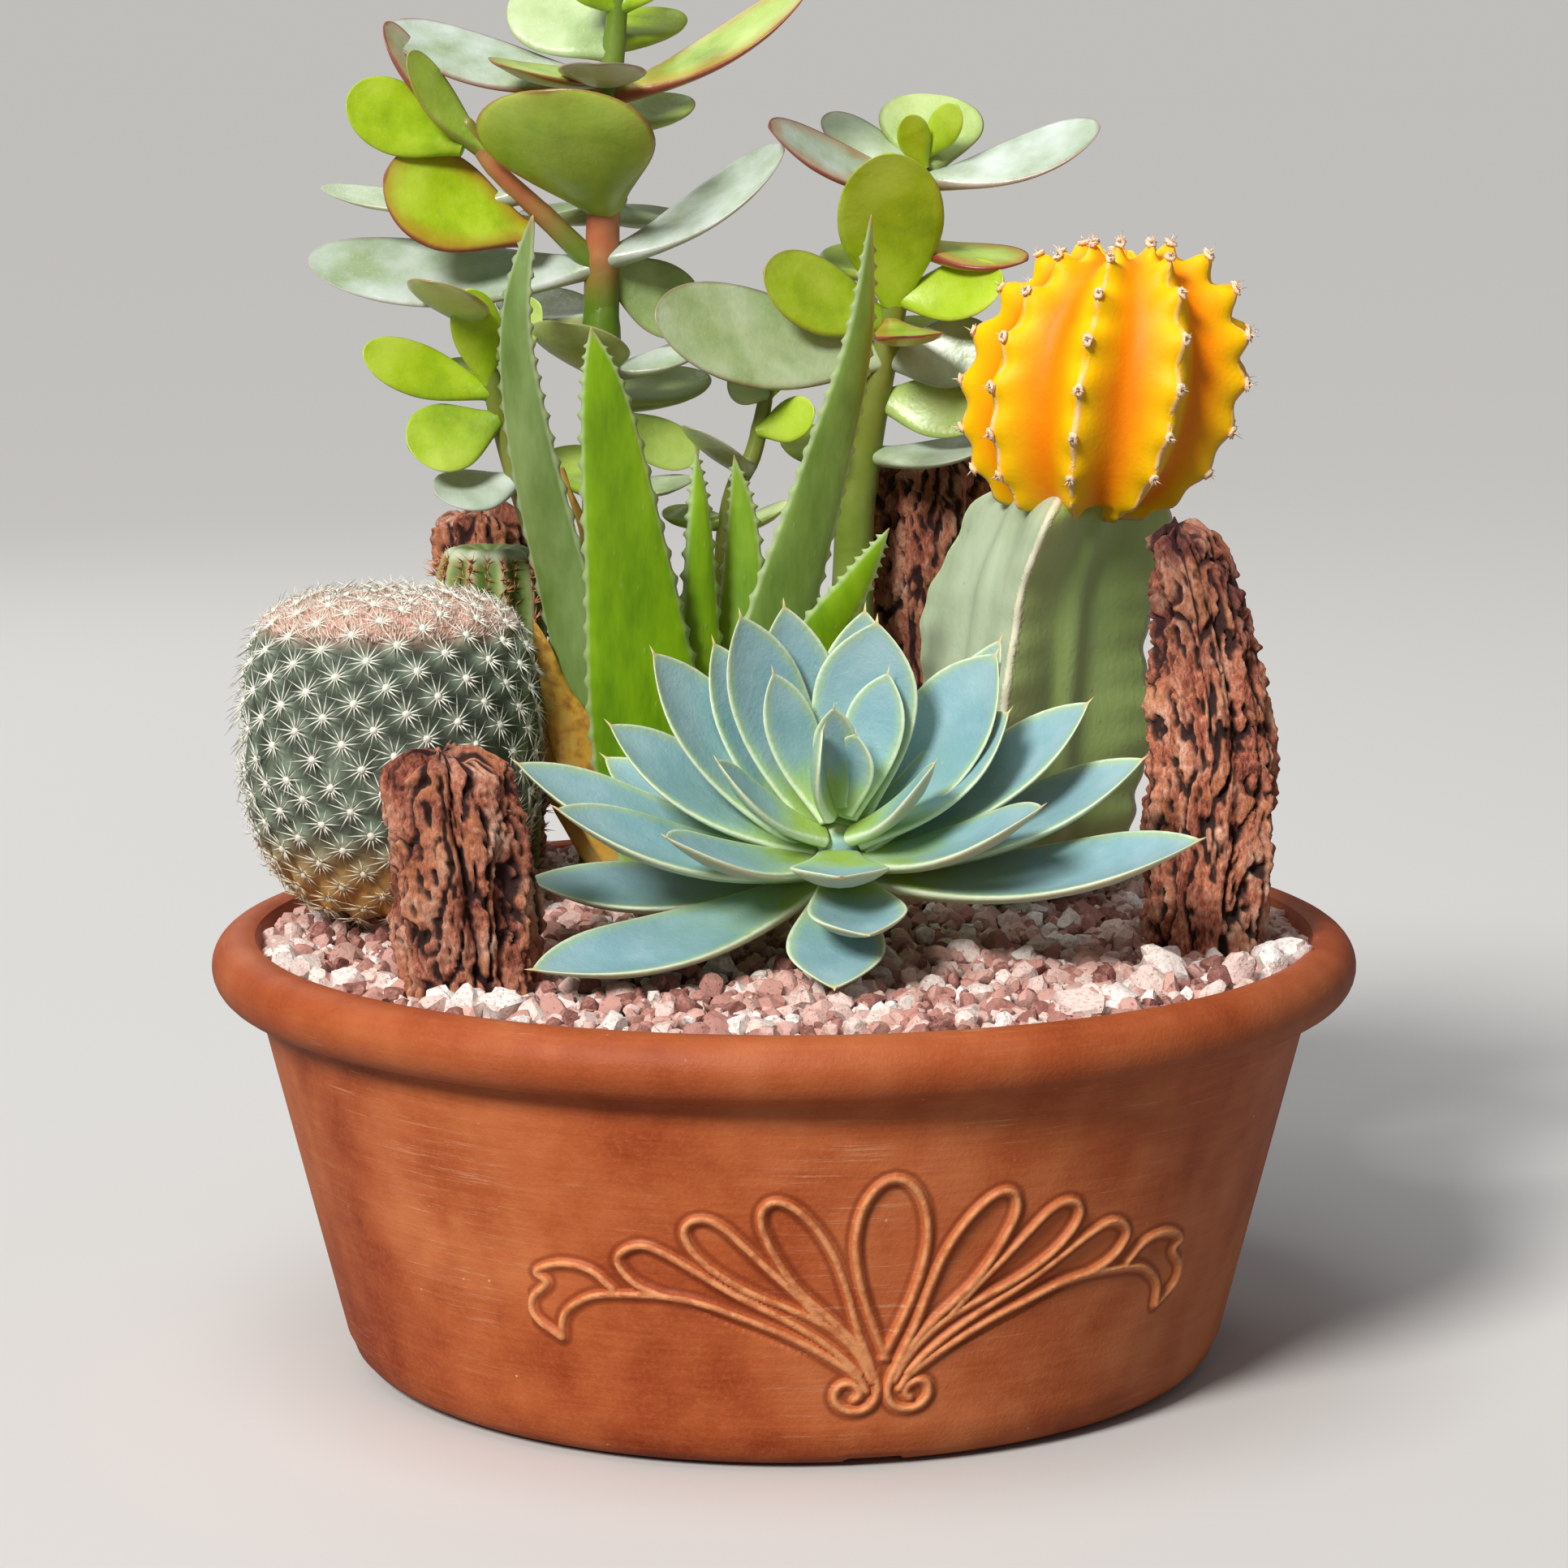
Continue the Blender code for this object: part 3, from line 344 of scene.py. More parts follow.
def outline(shape, t):
    """Half width of a leaf at t, as a share of its greatest."""
    root, belly, round_power, point_power = shape
    if t < belly:
        return mix(root, 1, sin(t / belly * pi / 2) ** 1.4)
    return max(0, 1 - ((t - belly) / (1 - belly)) ** round_power) ** point_power


def leaf(path, face, half_width, half_depth, cup=0, point=0, even=False, teeth=0, ripple=0, tone=0,
         blush=0):
    """A fleshy leaf or a stem, as a copy of a ball: a path, which way its upper side faces, and how
    wide and thick it is."""
    face = Vector(face)
    length = (path(1) - path(0)).length

    def spot(corner):
        level = max(-1, min(1, corner.z))
        t = acos(-level) / pi if even else (1 + level) / 2
        ahead = path(min(t + 0.01, 1)) - path(max(t - 0.01, 0))
        if abs(level) > 0.9999:
            tip = path(t) + ahead.normalized() * (point if level > 0 else 0)
            return tip, (0, t, 0, tone, blush)
        across = ahead.cross(face).normalized()
        normal = across.cross(ahead).normalized()
        around = atan2(corner.x, corner.y)
        reach = cos(around)
        broad = half_width(t)
        side = broad * reach
        rise = half_depth(t) * sin(around) + cup * abs(side * reach)
        rise += ripple * sin(t * 21 + length) * reach ** 3 * ease(0.2, 0.5, t)
        if teeth and abs(reach) > 0.99 and TOOTH_REACH[0] < t < TOOTH_REACH[1]:
            phase = (t * length / TOOTH_PITCH + 0.3 * copysign(1, side)) % 1
            side += copysign(teeth * max(0, 1 - abs(phase - 0.4) * 3.6), side)
        edge = min(broad * (1 - abs(reach)), (1 - t) * length)
        return path(t) + across * side + normal * rise, (edge, t, sin(around), tone, blush)

    return spot


def grown(leaves, sides, rings):
    """One mesh of many leaves."""
    return repeated(ball(sides, rings), leaves, LEAF_LABELS)


def blade(path, face, width, thick, shape, **more):
    """A leaf that thins towards its tip."""

    def depth(t):
        return max(thick / 2 * (1 - 0.6 * t), 0.4) * min(1, 3 * (1 - t) + 0.25)

    return leaf(path, face, lambda t: width / 2 * outline(shape, t), depth, **more)


def stem(points, radii, **more):
    """A round stem that tapers, with faint rings where leaves have been."""
    path = smooth_path(points)
    length = sum((Vector(b) - Vector(a)).length for a, b in zip(points, points[1:]))

    def radius(t):
        ring = max(0, cos(tau * t * length / STEM_RING_PITCH)) ** 8
        return mix(*radii, t) * (1 + 0.07 * ring) * min(1, 0.3 + 14 * (1 - t))

    return leaf(path, (0.3, -1, 0.1), radius, radius, even=True, **more)


# The bowl

RIM_RADIUS = 110.0
RIM_ROLL = 5.8
RIM_FOOT_Z = 72.0
RIM_TOP_Z = 84.0
RIM_INSIDE = ((101.2, 81.6), (98.5, 76), (94.2, 66.8))  # (radius, height) down from the rim's roll
WALL_TOP_RADIUS = 101.0
WALL_TOP_Z = 70.0
WALL_FOOT_RADIUS = 83.6
WALL_THICKNESS = 7.0
FLOOR_TOP_Z = 10.0
FOOT_RECESS = 3.0
FOOT_RING = (  # (radius, height) from the recess out to the wall
    (62.8, 2.6), (63.6, 0.5), (64.5, 0), (68, 0), (73, 0), (77, 0), (78.6, 0.3), (80.4, 0.9),
    (82.2, 1.9), (83.8, 3.6))
FOOT_TOP_Z = 5.6
DRAIN_RADIUS = 7.0
FRONT_TURN = radians(11.4)
NOTCH_WIDTH = 11.0
NOTCH_HEIGHT = 2.0
NOTCH_TURNS = [FRONT_TURN + i * tau / 3 for i in (-1, 0, 1)]
BEAD_HEIGHT = 1.05
BEAD_HALF_WIDTH = 1.2
PETAL_DISH = 0.4
FINE_STEP = 0.42  # millimetres between corners where the palmette is
WALL_STEP = 2.0  # millimetres between corners up the plain wall
PLAIN_TURN = 0.045  # radians between corners round the plain wall
NOTCH_TURN = 0.01  # radians between corners at a notch
RIM_STEPS = 18
ORNAMENT_LOW_Z = 8.5
ORNAMENT_HIGH_Z = 60.0
ORNAMENT_TURN = 0.72  # how far round it goes from its middle

# The palmette's left half, in millimetres along the wall from its middle and up from the table
MIDDLE_PETAL = (
    (0.3, 22.5), (-2.2, 28.5), (-4.4, 34.5), (-5.8, 40), (-6.4, 45), (-5.9, 50), (-4.4, 53.8),
    (-2.2, 56.2), (0, 57))
PETALS = (
    ((-1.6, 19), (-3.4, 24), (-5.2, 28.4), (-7.2, 35), (-9.9, 42.2), (-13.7, 48.2), (-17.7, 52),
     (-20.8, 53), (-22.8, 51.6), (-23, 48.6), (-21.5, 44.9), (-19, 40.5), (-15.7, 36), (-11.6, 32),
     (-8, 28.5), (-5, 25), (-2.6, 20.5)),
    ((-11.9, 30.4), (-16, 35), (-21, 39.8), (-25.7, 44.4), (-29.7, 48), (-32.9, 49.4), (-35.6, 48.7),
     (-36.4, 46.5), (-35, 43.6), (-32, 40.5), (-27.7, 37.5), (-23, 35), (-17.9, 32.8), (-11.9, 29.8),
     (-7.9, 26.8), (-4.5, 22.8), (-2, 18)),
    ((-39.7, 34.2), (-44.2, 36), (-47.1, 38.4), (-48.2, 41), (-46.5, 43), (-43.3, 43.7), (-38.8, 42),
     (-33.2, 38.8), (-27.6, 35.5), (-22.9, 33), (-18, 30.4), (-12.6, 27), (-7.7, 23), (-4.3, 19.4)))
PALMETTE_STEM = (
    (-58.5, 24.2), (-58.3, 28.2), (-56.2, 31), (-52.4, 33.2), (-46.6, 34), (-39.7, 34.2), (-33, 33.2),
    (-25.9, 30.8), (-18.8, 27.9), (-12.4, 24.4), (-7.6, 21.2), (-4.3, 18.5), (-3, 16.2))
PALMETTE_HOOK = (
    (-49, 35), (-53, 38), (-57.7, 38.9), (-61.6, 38.1), (-63.9, 36.4), (-61.8, 34.6), (-64.7, 31),
    (-63.8, 27.4), (-58.5, 24.2))
PALMETTE_SCROLL = (
    (-1.6, 19.6), (-0.9, 16), (-2, 13.2), (-4.5, 12.1), (-7.1, 12.8), (-8.5, 14.8), (-8.1, 16.9),
    (-6.4, 17.7), (-4.7, 16.9), (-4.1, 15.4), (-5, 14.4))


def wall_radius(z):
    return mix(WALL_FOOT_RADIUS, WALL_TOP_RADIUS, z / WALL_TOP_Z)


def curve_line(points, steps=200):
    path = smooth_path([(a, u, 0) for a, u in points])
    return [path(i / (steps - 1)).to_2d() for i in range(steps)]


def mirrored(line, side):
    return [Vector((side * p.x, p.y)) for p in line]


def palmette():
    """The ornament's raised lines, as a search tree of spots on the wall, and its petals' loops."""
    half = curve_line(MIDDLE_PETAL)
    petals = [curve_line(row) for row in PETALS]
    lines = [half, *petals, *map(curve_line, (PALMETTE_STEM, PALMETTE_HOOK, PALMETTE_SCROLL))]
    loops = [half + mirrored(half, -1)[::-1]]
    spots = []
    for side in (1, -1):
        loops += [mirrored(line, side) for line in petals]
        spots += [p.to_3d() for line in lines for p in mirrored(line, side)]
    return nearest(spots), loops


def inside(point, loop):
    """True if a point lies in a closed loop."""
    crossings = 0
    for a, b in zip(loop, loop[1:] + loop[:1]):
        if (a.y > point.y) != (b.y > point.y):
            if point.x < a.x + (b.x - a.x) * (point.y - a.y) / (b.y - a.y):
                crossings += 1
    return crossings % 2 == 1


def bowl_section():
    """The bowl's outline as (radius, height), once round its wall, closed."""
    rows = [(DRAIN_RADIUS, FLOOR_TOP_Z), (DRAIN_RADIUS, FOOT_RECESS), (30, FOOT_RECESS),
            (62, FOOT_RECESS), *FOOT_RING, (wall_radius(FOOT_TOP_Z) - 0.4, FOOT_TOP_Z)]
    z = FOOT_TOP_Z + 1.4
    while z < RIM_FOOT_Z - 1.4:
        rows.append((wall_radius(z), z))
        z += FINE_STEP if ORNAMENT_LOW_Z < z < ORNAMENT_HIGH_Z else WALL_STEP
    rows += [(101.4, RIM_FOOT_Z - 1), (101.9, RIM_FOOT_Z - 0.2), (102.9, RIM_FOOT_Z + 0.2)]
    middle = (RIM_TOP_Z + RIM_FOOT_Z) / 2
    half = (RIM_TOP_Z - RIM_FOOT_Z) / 2
    for i in range(RIM_STEPS + 1):
        angle = radians(-85 + 200 * i / RIM_STEPS)
        rows.append((RIM_RADIUS - RIM_ROLL + RIM_ROLL * cos(angle), middle + half * sin(angle)))
    rows += RIM_INSIDE
    rows += [(wall_radius(z) - WALL_THICKNESS, z) for z in (60, 45, 30, 20, 12)]
    rows += [(wall_radius(FLOOR_TOP_Z) - WALL_THICKNESS - 1.5, FLOOR_TOP_Z), (40, FLOOR_TOP_Z),
             (DRAIN_RADIUS, FLOOR_TOP_Z)]
    return rows


def turn_from(angle, middle):
    """How far round an angle is from another."""
    return abs((angle - middle + pi) % tau - pi)


def notch_turn(angle):
    """How far round an angle is from the nearest notch."""
    return min(turn_from(angle, notch) for notch in NOTCH_TURNS)


def bowl_turns():
    """The angles of the bowl's corners, close together at the palmette and the notches."""
    turns = []
    angle = -pi
    while angle < pi - 0.03:
        turns.append(angle)
        if turn_from(angle, FRONT_TURN) < ORNAMENT_TURN + 0.05:
            angle += FINE_STEP / WALL_TOP_RADIUS
        else:
            angle += NOTCH_TURN if notch_turn(angle) < 0.1 else PLAIN_TURN
    return turns + [pi]


def make_bowl(finish):
    """The bowl: its outline turned round, with the palmette raised and the foot notched by formula."""
    tree, loops = palmette()
    rows = bowl_section()
    turns = bowl_turns()
    bm = bmesh.new()
    bmesh.ops.create_grid(bm, x_segments=len(turns) - 1, y_segments=len(rows) - 1, size=1)
    worn = bm.verts.layers.float.new("worn")
    for v in bm.verts:
        angle = turns[round((v.co.x + 1) / 2 * (len(turns) - 1))]
        radius, z = rows[round((v.co.y + 1) / 2 * (len(rows) - 1))]
        off = angle - FRONT_TURN
        on_wall = ORNAMENT_LOW_Z < z < ORNAMENT_HIGH_Z and radius > wall_radius(z) - 0.1
        if on_wall and abs(off) < ORNAMENT_TURN:
            spot = Vector((off * radius, z))
            near = tree.find(spot.to_3d())[2]
            raised = 1 - ease(0.15, BEAD_HALF_WIDTH, near)
            # Positive on a raised line's top, for its paler wear and a painted highlight; negative in a
            # ring round its foot, for painted shade.
            v[worn] = raised - ease(0.8, 1.3, near) * (1 - ease(1.4, 2.6, near))
            radius += BEAD_HEIGHT * raised
            if near > 0.5 and any(inside(spot, loop) for loop in loops):
                radius -= PETAL_DISH * ease(0.7, 1.8, near)
        if z < NOTCH_HEIGHT and radius > 60:
            gap = notch_turn(angle) * radius
            z = max(z, NOTCH_HEIGHT * (1 - ease(NOTCH_WIDTH / 2 - 0.8, NOTCH_WIDTH / 2 + 0.4, gap)))
        v.co = Vector((radius * sin(angle), -radius * cos(angle), z)) * MM
    bmesh.ops.remove_doubles(bm, verts=bm.verts, dist=1e-6)
    bmesh.ops.recalc_face_normals(bm, faces=bm.faces)
    piece("bowl", bm, finish, "pot", crease=50)


def terracotta():
    clay = Finish("fired_clay", {"Roughness": 0.55, "Specular IOR Level": 0.22})
    worn = clay.wear("worn")
    broad = clay.grain(60, detail=4, roughness=0.6)
    cloud = clay.grain(14, detail=5, roughness=0.6)
    fine = clay.grain(0.9, detail=4, roughness=0.7)
    strokes = clay.grain(24, detail=4, stretch=(1, 1, 22), roughness=0.62, swirl=0.8)
    slanted = clay.grain(23.81, detail=5, stretch=(0.8, 0.8, 30), roughness=0.85, turn=(0.12, 0.3, 0))
    scratch = clay.band(slanted, 0.54, 0.64) * clay.band(clay.grain(38), 0.5, 0.62)
    speck = clay.band(clay.cells(4.2), 0.03, 0.1, 1, 0) * clay.band(clay.grain(9), 0.55, 0.6)
    clay.coat(broad * 0.72 + cloud * 0.28 + strokes * 0.14 - 0.07, (0.36, (0.3, 0.04, 0.009)),
              (0.5, (0.5, 0.115, 0.033)), (0.64, (0.68, 0.21, 0.075)))
    clay.tint(clay.band(fine, 0.42, 0.75) * 0.3, (0.68, 0.2, 0.06))
    clay.tint(scratch * 0.6, (0.78, 0.36, 0.2))
    # Painted shade under the rim: darker from just below the rim's roll upwards, over the rim itself as
    # well.
    clay.tint(clay.band(clay.height(), 0.067, 0.074) * 0.4, (0.26, 0.05, 0.014))
    # Raised lines paler on top: worn, and partly a painted highlight.
    ridge = clay.band(worn, 0.3, 0.9) * (0.35 + clay.band(clay.grain(2.2), 0.35, 0.6) * 0.6)
    clay.tint(ridge, (0.85, 0.36, 0.15))
    # Painted shade: a dark ring round the foot of each raised line.
    clay.tint(clay.band(worn, -1, -0.1, 0.55, 0), (0.16, 0.02, 0.004))
    clay.tint(speck * 0.75, (0.82, 0.52, 0.34))
    clay.wire("Roughness", 0.4 + fine * 0.2 + scratch * 0.15)
    clay.relief(fine * 0.6 + cloud * 0.6 + scratch * 0.1 - speck * 0.4, 0.25)
    return clay


# The fill of the bowl

SOIL_TOP_Z = 62.0
GRAVEL_EDGE_Z = 82.0
GRAVEL_EDGE_RADIUS = 100.2
MOUND_HEIGHT = 9.0
MOUND_CENTRE = (4.0, 24.0)
MOUND_SPREAD = 42.0
STONE_LABELS = ("tone",)
STONE_FACETS = 7
STONE_CUTS = (0.55, 0.9)  # how far out its facets lie
STONE_SQUASH = (0.68, 1.25)
STONE_JITTER = 0.42
# Layers of stones: pitch, least and greatest size, and how high they lie, as shares of their size
LOWER_STONES = (4.6, (2.2, 3.2), (-0.45, -0.1))
UPPER_STONES = (4.1, (1.2, 2.9), (0.0, 0.55))
BIG_STONES = (  # x, y, size, tone: the larger pale stones that show from the front
    (-50, -76, 4.4, 0.97), (-57, -73, 3.8, 0.9), (-62, -69, 3.4, 1), (-44, -80, 3, 0.8),
    (-88, -40, 4, 0.85), (-93, -30, 3.6, 1), (-80, -52, 3.4, 0.9), (-95, -20, 3.4, 0.7),
    (71, -48, 5.4, 0.92), (66, -55, 3.6, 0.8), (90, -36, 4.6, 1), (95, -26, 4.4, 0.95),
    (84, -44, 3.4, 0.75), (53, -74, 4.6, 0.8), (60, -66, 3.8, 0.9), (-8, -88, 2.8, 1),
    (-30, -86, 2.8, 1), (12, -91, 2.8, 0.8), (60, 74, 4.2, 0.9), (-30, 84, 4, 0.95),
    (20, 82, 3.8, 0.8), (-84, 36, 4.2, 0.95), (90, 20, 4.4, 0.9), (82, 42, 3.6, 0.8),
    (0, 70, 3.6, 0.9),
)


def ground(x, y):
    """Height of the gravel: a mound that falls away to the rim."""
    near = ((x - MOUND_CENTRE[0]) ** 2 + (y - MOUND_CENTRE[1]) ** 2) / (2 * MOUND_SPREAD ** 2)
    return GRAVEL_EDGE_Z - 1.5 + MOUND_HEIGHT * exp(-near)


def stone(place, size, tone):
    """A crushed stone, as a copy of a chip: cut by flat facets, squashed and turned."""
    place = Vector(place)
    turn = random_turn()
    squash = Vector([random.uniform(*STONE_SQUASH) for _ in range(3)])
    facets = [(random_turn() @ UP, random.uniform(*STONE_CUTS)) for _ in range(STONE_FACETS)]

    def spot(corner):
        point = corner * (1.04 + 0.3 * noise.noise(corner * 2.3 + place))
        for facing, depth in facets:
            point = point - facing * max(0, point.dot(facing) - depth)
        return place + turn @ (point * squash) * size, (tone,)

    return spot


def scattered(pitch, sizes, sink):
    """Stones laid over the bed on a jittered grid."""
    stones = []
    reach = int(GRAVEL_EDGE_RADIUS / pitch) + 1
    for row in range(-reach, reach + 1):
        for column in range(-reach, reach + 1):
            x = (column + (row % 2) / 2 + random.uniform(-STONE_JITTER, STONE_JITTER)) * pitch
            y = (row + random.uniform(-STONE_JITTER, STONE_JITTER)) * pitch * 0.9
            size = mix(*sizes, random.random() ** 1.8)
            if hypot(x, y) < GRAVEL_EDGE_RADIUS - size * 0.4:
                z = ground(x, y) + size * random.uniform(*sink)
                stones.append(stone((x, y, z), size, random.random() ** 1.1))
    return stones


def make_bed():
    """The bed under the loose stones: its outline turned round, and its top raised to the mound."""
    bed = bmesh.new()
    top = GRAVEL_EDGE_Z - 1
    rows = [(0, SOIL_TOP_Z + 0.3), (wall_radius(SOIL_TOP_Z) - 8, SOIL_TOP_Z + 0.3)]
    rows += [(GRAVEL_EDGE_RADIUS * i / 12, top) for i in range(12, -1, -1)]
    corners = [bed.verts.new((r * MM, 0, z * MM)) for r, z in rows]
    lines = [bed.edges.new(pair) for pair in zip(corners, corners[1:])]
    bmesh.ops.spin(bed, geom=corners + lines, cent=(0, 0, 0), axis=UP, angle=tau, steps=64, use_merge=True)
    bmesh.ops.remove_doubles(bed, verts=bed.verts, dist=1e-6)
    bmesh.ops.recalc_face_normals(bed, faces=bed.faces)
    tone = bed.verts.layers.float.new("tone")
    for v in bed.verts:
        # Tone -1 paints the bed dark: painted shade in the gaps between the stones.
        v[tone] = -1
        if v.co.z > (top - 1) * MM:
            v.co.z = (ground(v.co.x / MM, v.co.y / MM) - 1) * MM
    return bed


def make_gravel(finish):
    """The gravel: a bed under two layers of loose chips, with a few larger pale stones."""
    low = repeated(chip(1), scattered(*LOWER_STONES), STONE_LABELS)
    piece("gravel_bed", joined(make_bed(), low), finish, "gravel", crease=30)
    top = repeated(chip(2), scattered(*UPPER_STONES), STONE_LABELS)
    large = [stone((x, y, ground(x, y) + size * 0.45), size, tone) for x, y, size, tone in BIG_STONES]
    big = repeated(chip(3), large, STONE_LABELS)
    piece("gravel_chips", joined(top, big), finish, "gravel", crease=28)


def granite():
    rock = Finish("pink_granite", {})
    tone = rock.wear("tone")
    crystals = rock.grain(0.9, roughness=0.7)
    dark = rock.band(rock.grain(0.6, detail=2), 0.62, 0.74)
    rock.coat(
        tone, (0, (0.2, 0.07, 0.055)), (0.2, (0.45, 0.21, 0.17)), (0.45, (0.66, 0.4, 0.34)),
        (0.68, (0.74, 0.55, 0.49)), (0.85, (0.84, 0.73, 0.67)), (0.97, (0.92, 0.89, 0.85)))
    rock.tint(rock.band(crystals, 0.45, 0.66) * 0.5, (0.62, 0.28, 0.24))
    rock.tint(dark * 0.5, (0.12, 0.05, 0.045))
    # Painted shade: the bed, with tone -1, is dark where it shows between the stones.
    rock.tint(rock.band(tone, -0.9, -0.1, 1, 0), (0.13, 0.07, 0.055))
    rock.wire("Roughness", 0.62 + crystals * 0.3)
    rock.relief(crystals + dark * 0.4, 0.25)
    return rock


def loam():
    soil = Finish("loam", {"Roughness": 0.95})
    crumbs = soil.cells(2.5)
    soil.coat(crumbs + soil.grain(4) * 0.4, (0.2, (0.09, 0.06, 0.04)), (0.8, (0.03, 0.02, 0.015)))
    soil.relief(crumbs, 0.8)
    return soil


# Echeveria rosette

ROSETTE_CENTRE = Vector((10.0, -38.0, 99.5))
ROSETTE_TILT = (radians(19), radians(33))
ROSETTE_LIFT = 16.0
ROSETTE_SHAPE = (0.45, 0.6, 2.5, 0.92)
ROSETTE_ARCH = 0.09
ROSETTE_LEAVES = (  # each leaf's tip, its width, and how far up the stem it springs
    ((-49, -39, 121), 19, 0.1), ((-48, -25, 97), 18, 0), ((-45, -67, 88), 19, 0),
    ((9, -69, 85), 18, 0), ((15, -71, 95), 18, 0.15), ((10, -68, 105), 18, 0.4),
    ((75, -58, 110), 20, 0.05), ((66, -40, 122), 18, 0.15), ((56, -37, 132), 18, 0.3),
    ((46, -64, 117), 16, 0.3), ((41, -43, 131), 18, 0.5), ((39, -37, 141), 23, 0.35),
    ((40, -32, 143), 15, 0.15), ((27, -59, 124), 12, 0.65), ((17, -38, 147), 20, 0.6),
    ((15, -28, 148), 16, 0.3), ((0, -30, 149), 16, 0.3), ((-8, -37, 148), 17, 0.5),
    ((-13, -29, 142), 15, 0.2), ((-24, -36, 141), 19, 0.3), ((-32, -38, 128), 18, 0.35),
    ((-12, -56, 124), 12, 0.6), ((-41, -54, 115), 18, 0.15), ((-21, -67, 112), 15, 0.3),
    ((-2, -41, 138), 11, 0.75), ((19, -41, 138), 12, 0.8), ((13, -50, 128), 9, 0.9),
    ((7, -57, 130), 10.5, 0.95), ((9, -51, 133), 8, 1), ((-34, -12, 118), 17, 0.2),
    ((-20, -4, 113), 16, 0.05), ((0, 0, 118), 17, 0.15), ((20, -3, 121), 16, 0.1),
    ((34, -18, 124), 15, 0.2), ((5, -12, 136), 15, 0.35),
)


def rosette_leaf(tip, width, up):
    """One leaf of the rosette. Its upper side faces the stem's line."""
    axis = Matrix.Rotation(mix(*ROSETTE_TILT, up), 3, "X") @ UP
    base = ROSETTE_CENTRE + axis * ROSETTE_LIFT * up
    reach = Vector(tip) - base
    outward = (reach - axis * reach.dot(axis)).normalized()
    base += outward * mix(4.5, 1.5, up)
    face = axis * reach.dot(outward) - outward * reach.dot(axis)
    return blade(arched(base, tip, face, ROSETTE_ARCH), face, width, mix(4.6, 3.0, up), ROSETTE_SHAPE,
                 cup=mix(0.34, 0.16, up), point=1.8, tone=up)


def make_echeveria(finish):
    """The rosette: each leaf from the stem out to its own tip, and the short stem."""
    leaves = [rosette_leaf(*row) for row in ROSETTE_LEAVES]
    x, y, _ = ROSETTE_CENTRE
    points = ((x, y + 5, 80), (x, y + 3, 90), (x, y - 1, 103), (x, y - 4, 110))
    leaves.append(stem(points, (7, 3.5), tone=1))
    piece("echeveria_rosette", grown(leaves, 24, 24), finish, "echeveria")


def echeveria_skin():
    skin = Finish("echeveria_skin", {"Subsurface Weight": 0.1})
    edge, along, tone, upper = skin.wears("edge", "along", "tone", "upper")
    bloom = skin.grain(7, detail=5, roughness=0.65)
    powder = skin.grain(0.8)
    streak = skin.grain(2.4, detail=4, roughness=0.7, swirl=0.4)
    each = skin.grain(22, detail=2)
    skin.coat(along + (bloom - 0.5) * 0.35 + (each - 0.5) * 0.5, (0.1, (0.3, 0.44, 0.05)),
              (0.26, (0.31, 0.5, 0.28)), (0.44, (0.24, 0.43, 0.43)), (0.7, (0.23, 0.42, 0.47)),
              (0.95, (0.32, 0.5, 0.53)))
    skin.tint(skin.band(bloom, 0.4, 0.75) * 0.55, (0.36, 0.52, 0.58))
    skin.tint(tone * skin.band(along, 0.1, 0.5, 0.8, 0), (0.36, 0.5, 0.12))
    skin.tint(skin.band(upper, -0.9, 0.1, 0.45, 0), (0.42, 0.58, 0.34))
    skin.tint(skin.band(edge + (streak - 0.5) * 2.4, 0.5, 2.6, 0.6, 0), (0.42, 0.6, 0.22))
    skin.tint(skin.band(edge + (streak - 0.5) * 0.9, 0.1, 0.95, 1, 0) * 0.85, (0.8, 0.87, 0.62))
    skin.tint(skin.band(along, 0.972, 1) * 0.75, (0.7, 0.5, 0.18))
    fleck = skin.band(skin.cells(3.4), 0.03, 0.1, 1, 0) * skin.band(skin.grain(8), 0.5, 0.62)
    skin.tint(fleck * 0.5, (0.62, 0.74, 0.7))
    skin.wire("Roughness", 0.44 + powder * 0.2)
    skin.relief(powder * 0.4 + bloom + streak * 0.5, 0.22)
    return skin


# Grafted moon cactus

STOCK_FOOT = (47.0, 13.0)
STOCK_TOP = Vector((56.0, 10.0, 171.0))
STOCK_RADII = (25.0, 19.8)
STOCK_RIB_TURN = radians(-101.4)
STOCK_WAVES = (31.0, 7.3)  # millimetres from swelling to swelling, and between the fine rings
STOCK_WAVE_START = 0.56
STOCK_BOW = 5.0
STOCK_FLARE = 0.17
STOCK_NECK = 10.0
HEAD_CENTRE = Vector((62.0, 8.0, 188.0))
HEAD_RADIUS = 25.5
HEAD_STRETCH = 1.06
HEAD_RIBS = 9
HEAD_RIB_TURN = radians(-105)
HEAD_AREOLES = 10
HEAD_KNOBS = (0.022, 0.07)
HEAD_SEAT_Z = 165.0
HEAD_LEAN = 0.14
THORN_RADIUS = 0.16
THORN_LENGTH = (1.6, 2.8)


def stock_spot(around, t):
    """A point on the three-ribbed rootstock, and how far it is from the nearest rib's edge."""
    middle = Vector((*STOCK_FOOT, ground(*STOCK_FOOT) + 1)).lerp(STOCK_TOP, t)
    middle.x -= STOCK_BOW * ease(1, 0.7, t)
    half_side = tau / 6
    off = abs((around - STOCK_RIB_TURN + half_side) % (2 * half_side) - half_side)
    radius = mix(*STOCK_RADII, t) * (0.66 + 0.34 * ease(-0.02, 0.2, t))
    flat = cos(half_side) / cos(half_side - off)
    wave = 0.06 * cos(middle.z * tau / STOCK_WAVES[0] + around + STOCK_WAVE_START)
    wave += 0.012 * cos(middle.z * tau / STOCK_WAVES[1])
    hollow = 0.05 * sin(min(off, half_side) / half_side * pi) ** 2
    radius *= mix(flat * 1.04, 1, 0.05) * (1 + wave * ease(0.7, 0, off)) - hollow
    radius *= 1 + STOCK_FLARE * ease(0.3, -0.5, cos(around - STOCK_RIB_TURN)) * ease(1, 0.85, t)
    radius = mix(radius, min(radius, STOCK_NECK), ease(0.9, 1, t)) * (1 - ease(0.985, 1, t))
    return middle + heading(around) * radius, off * radius


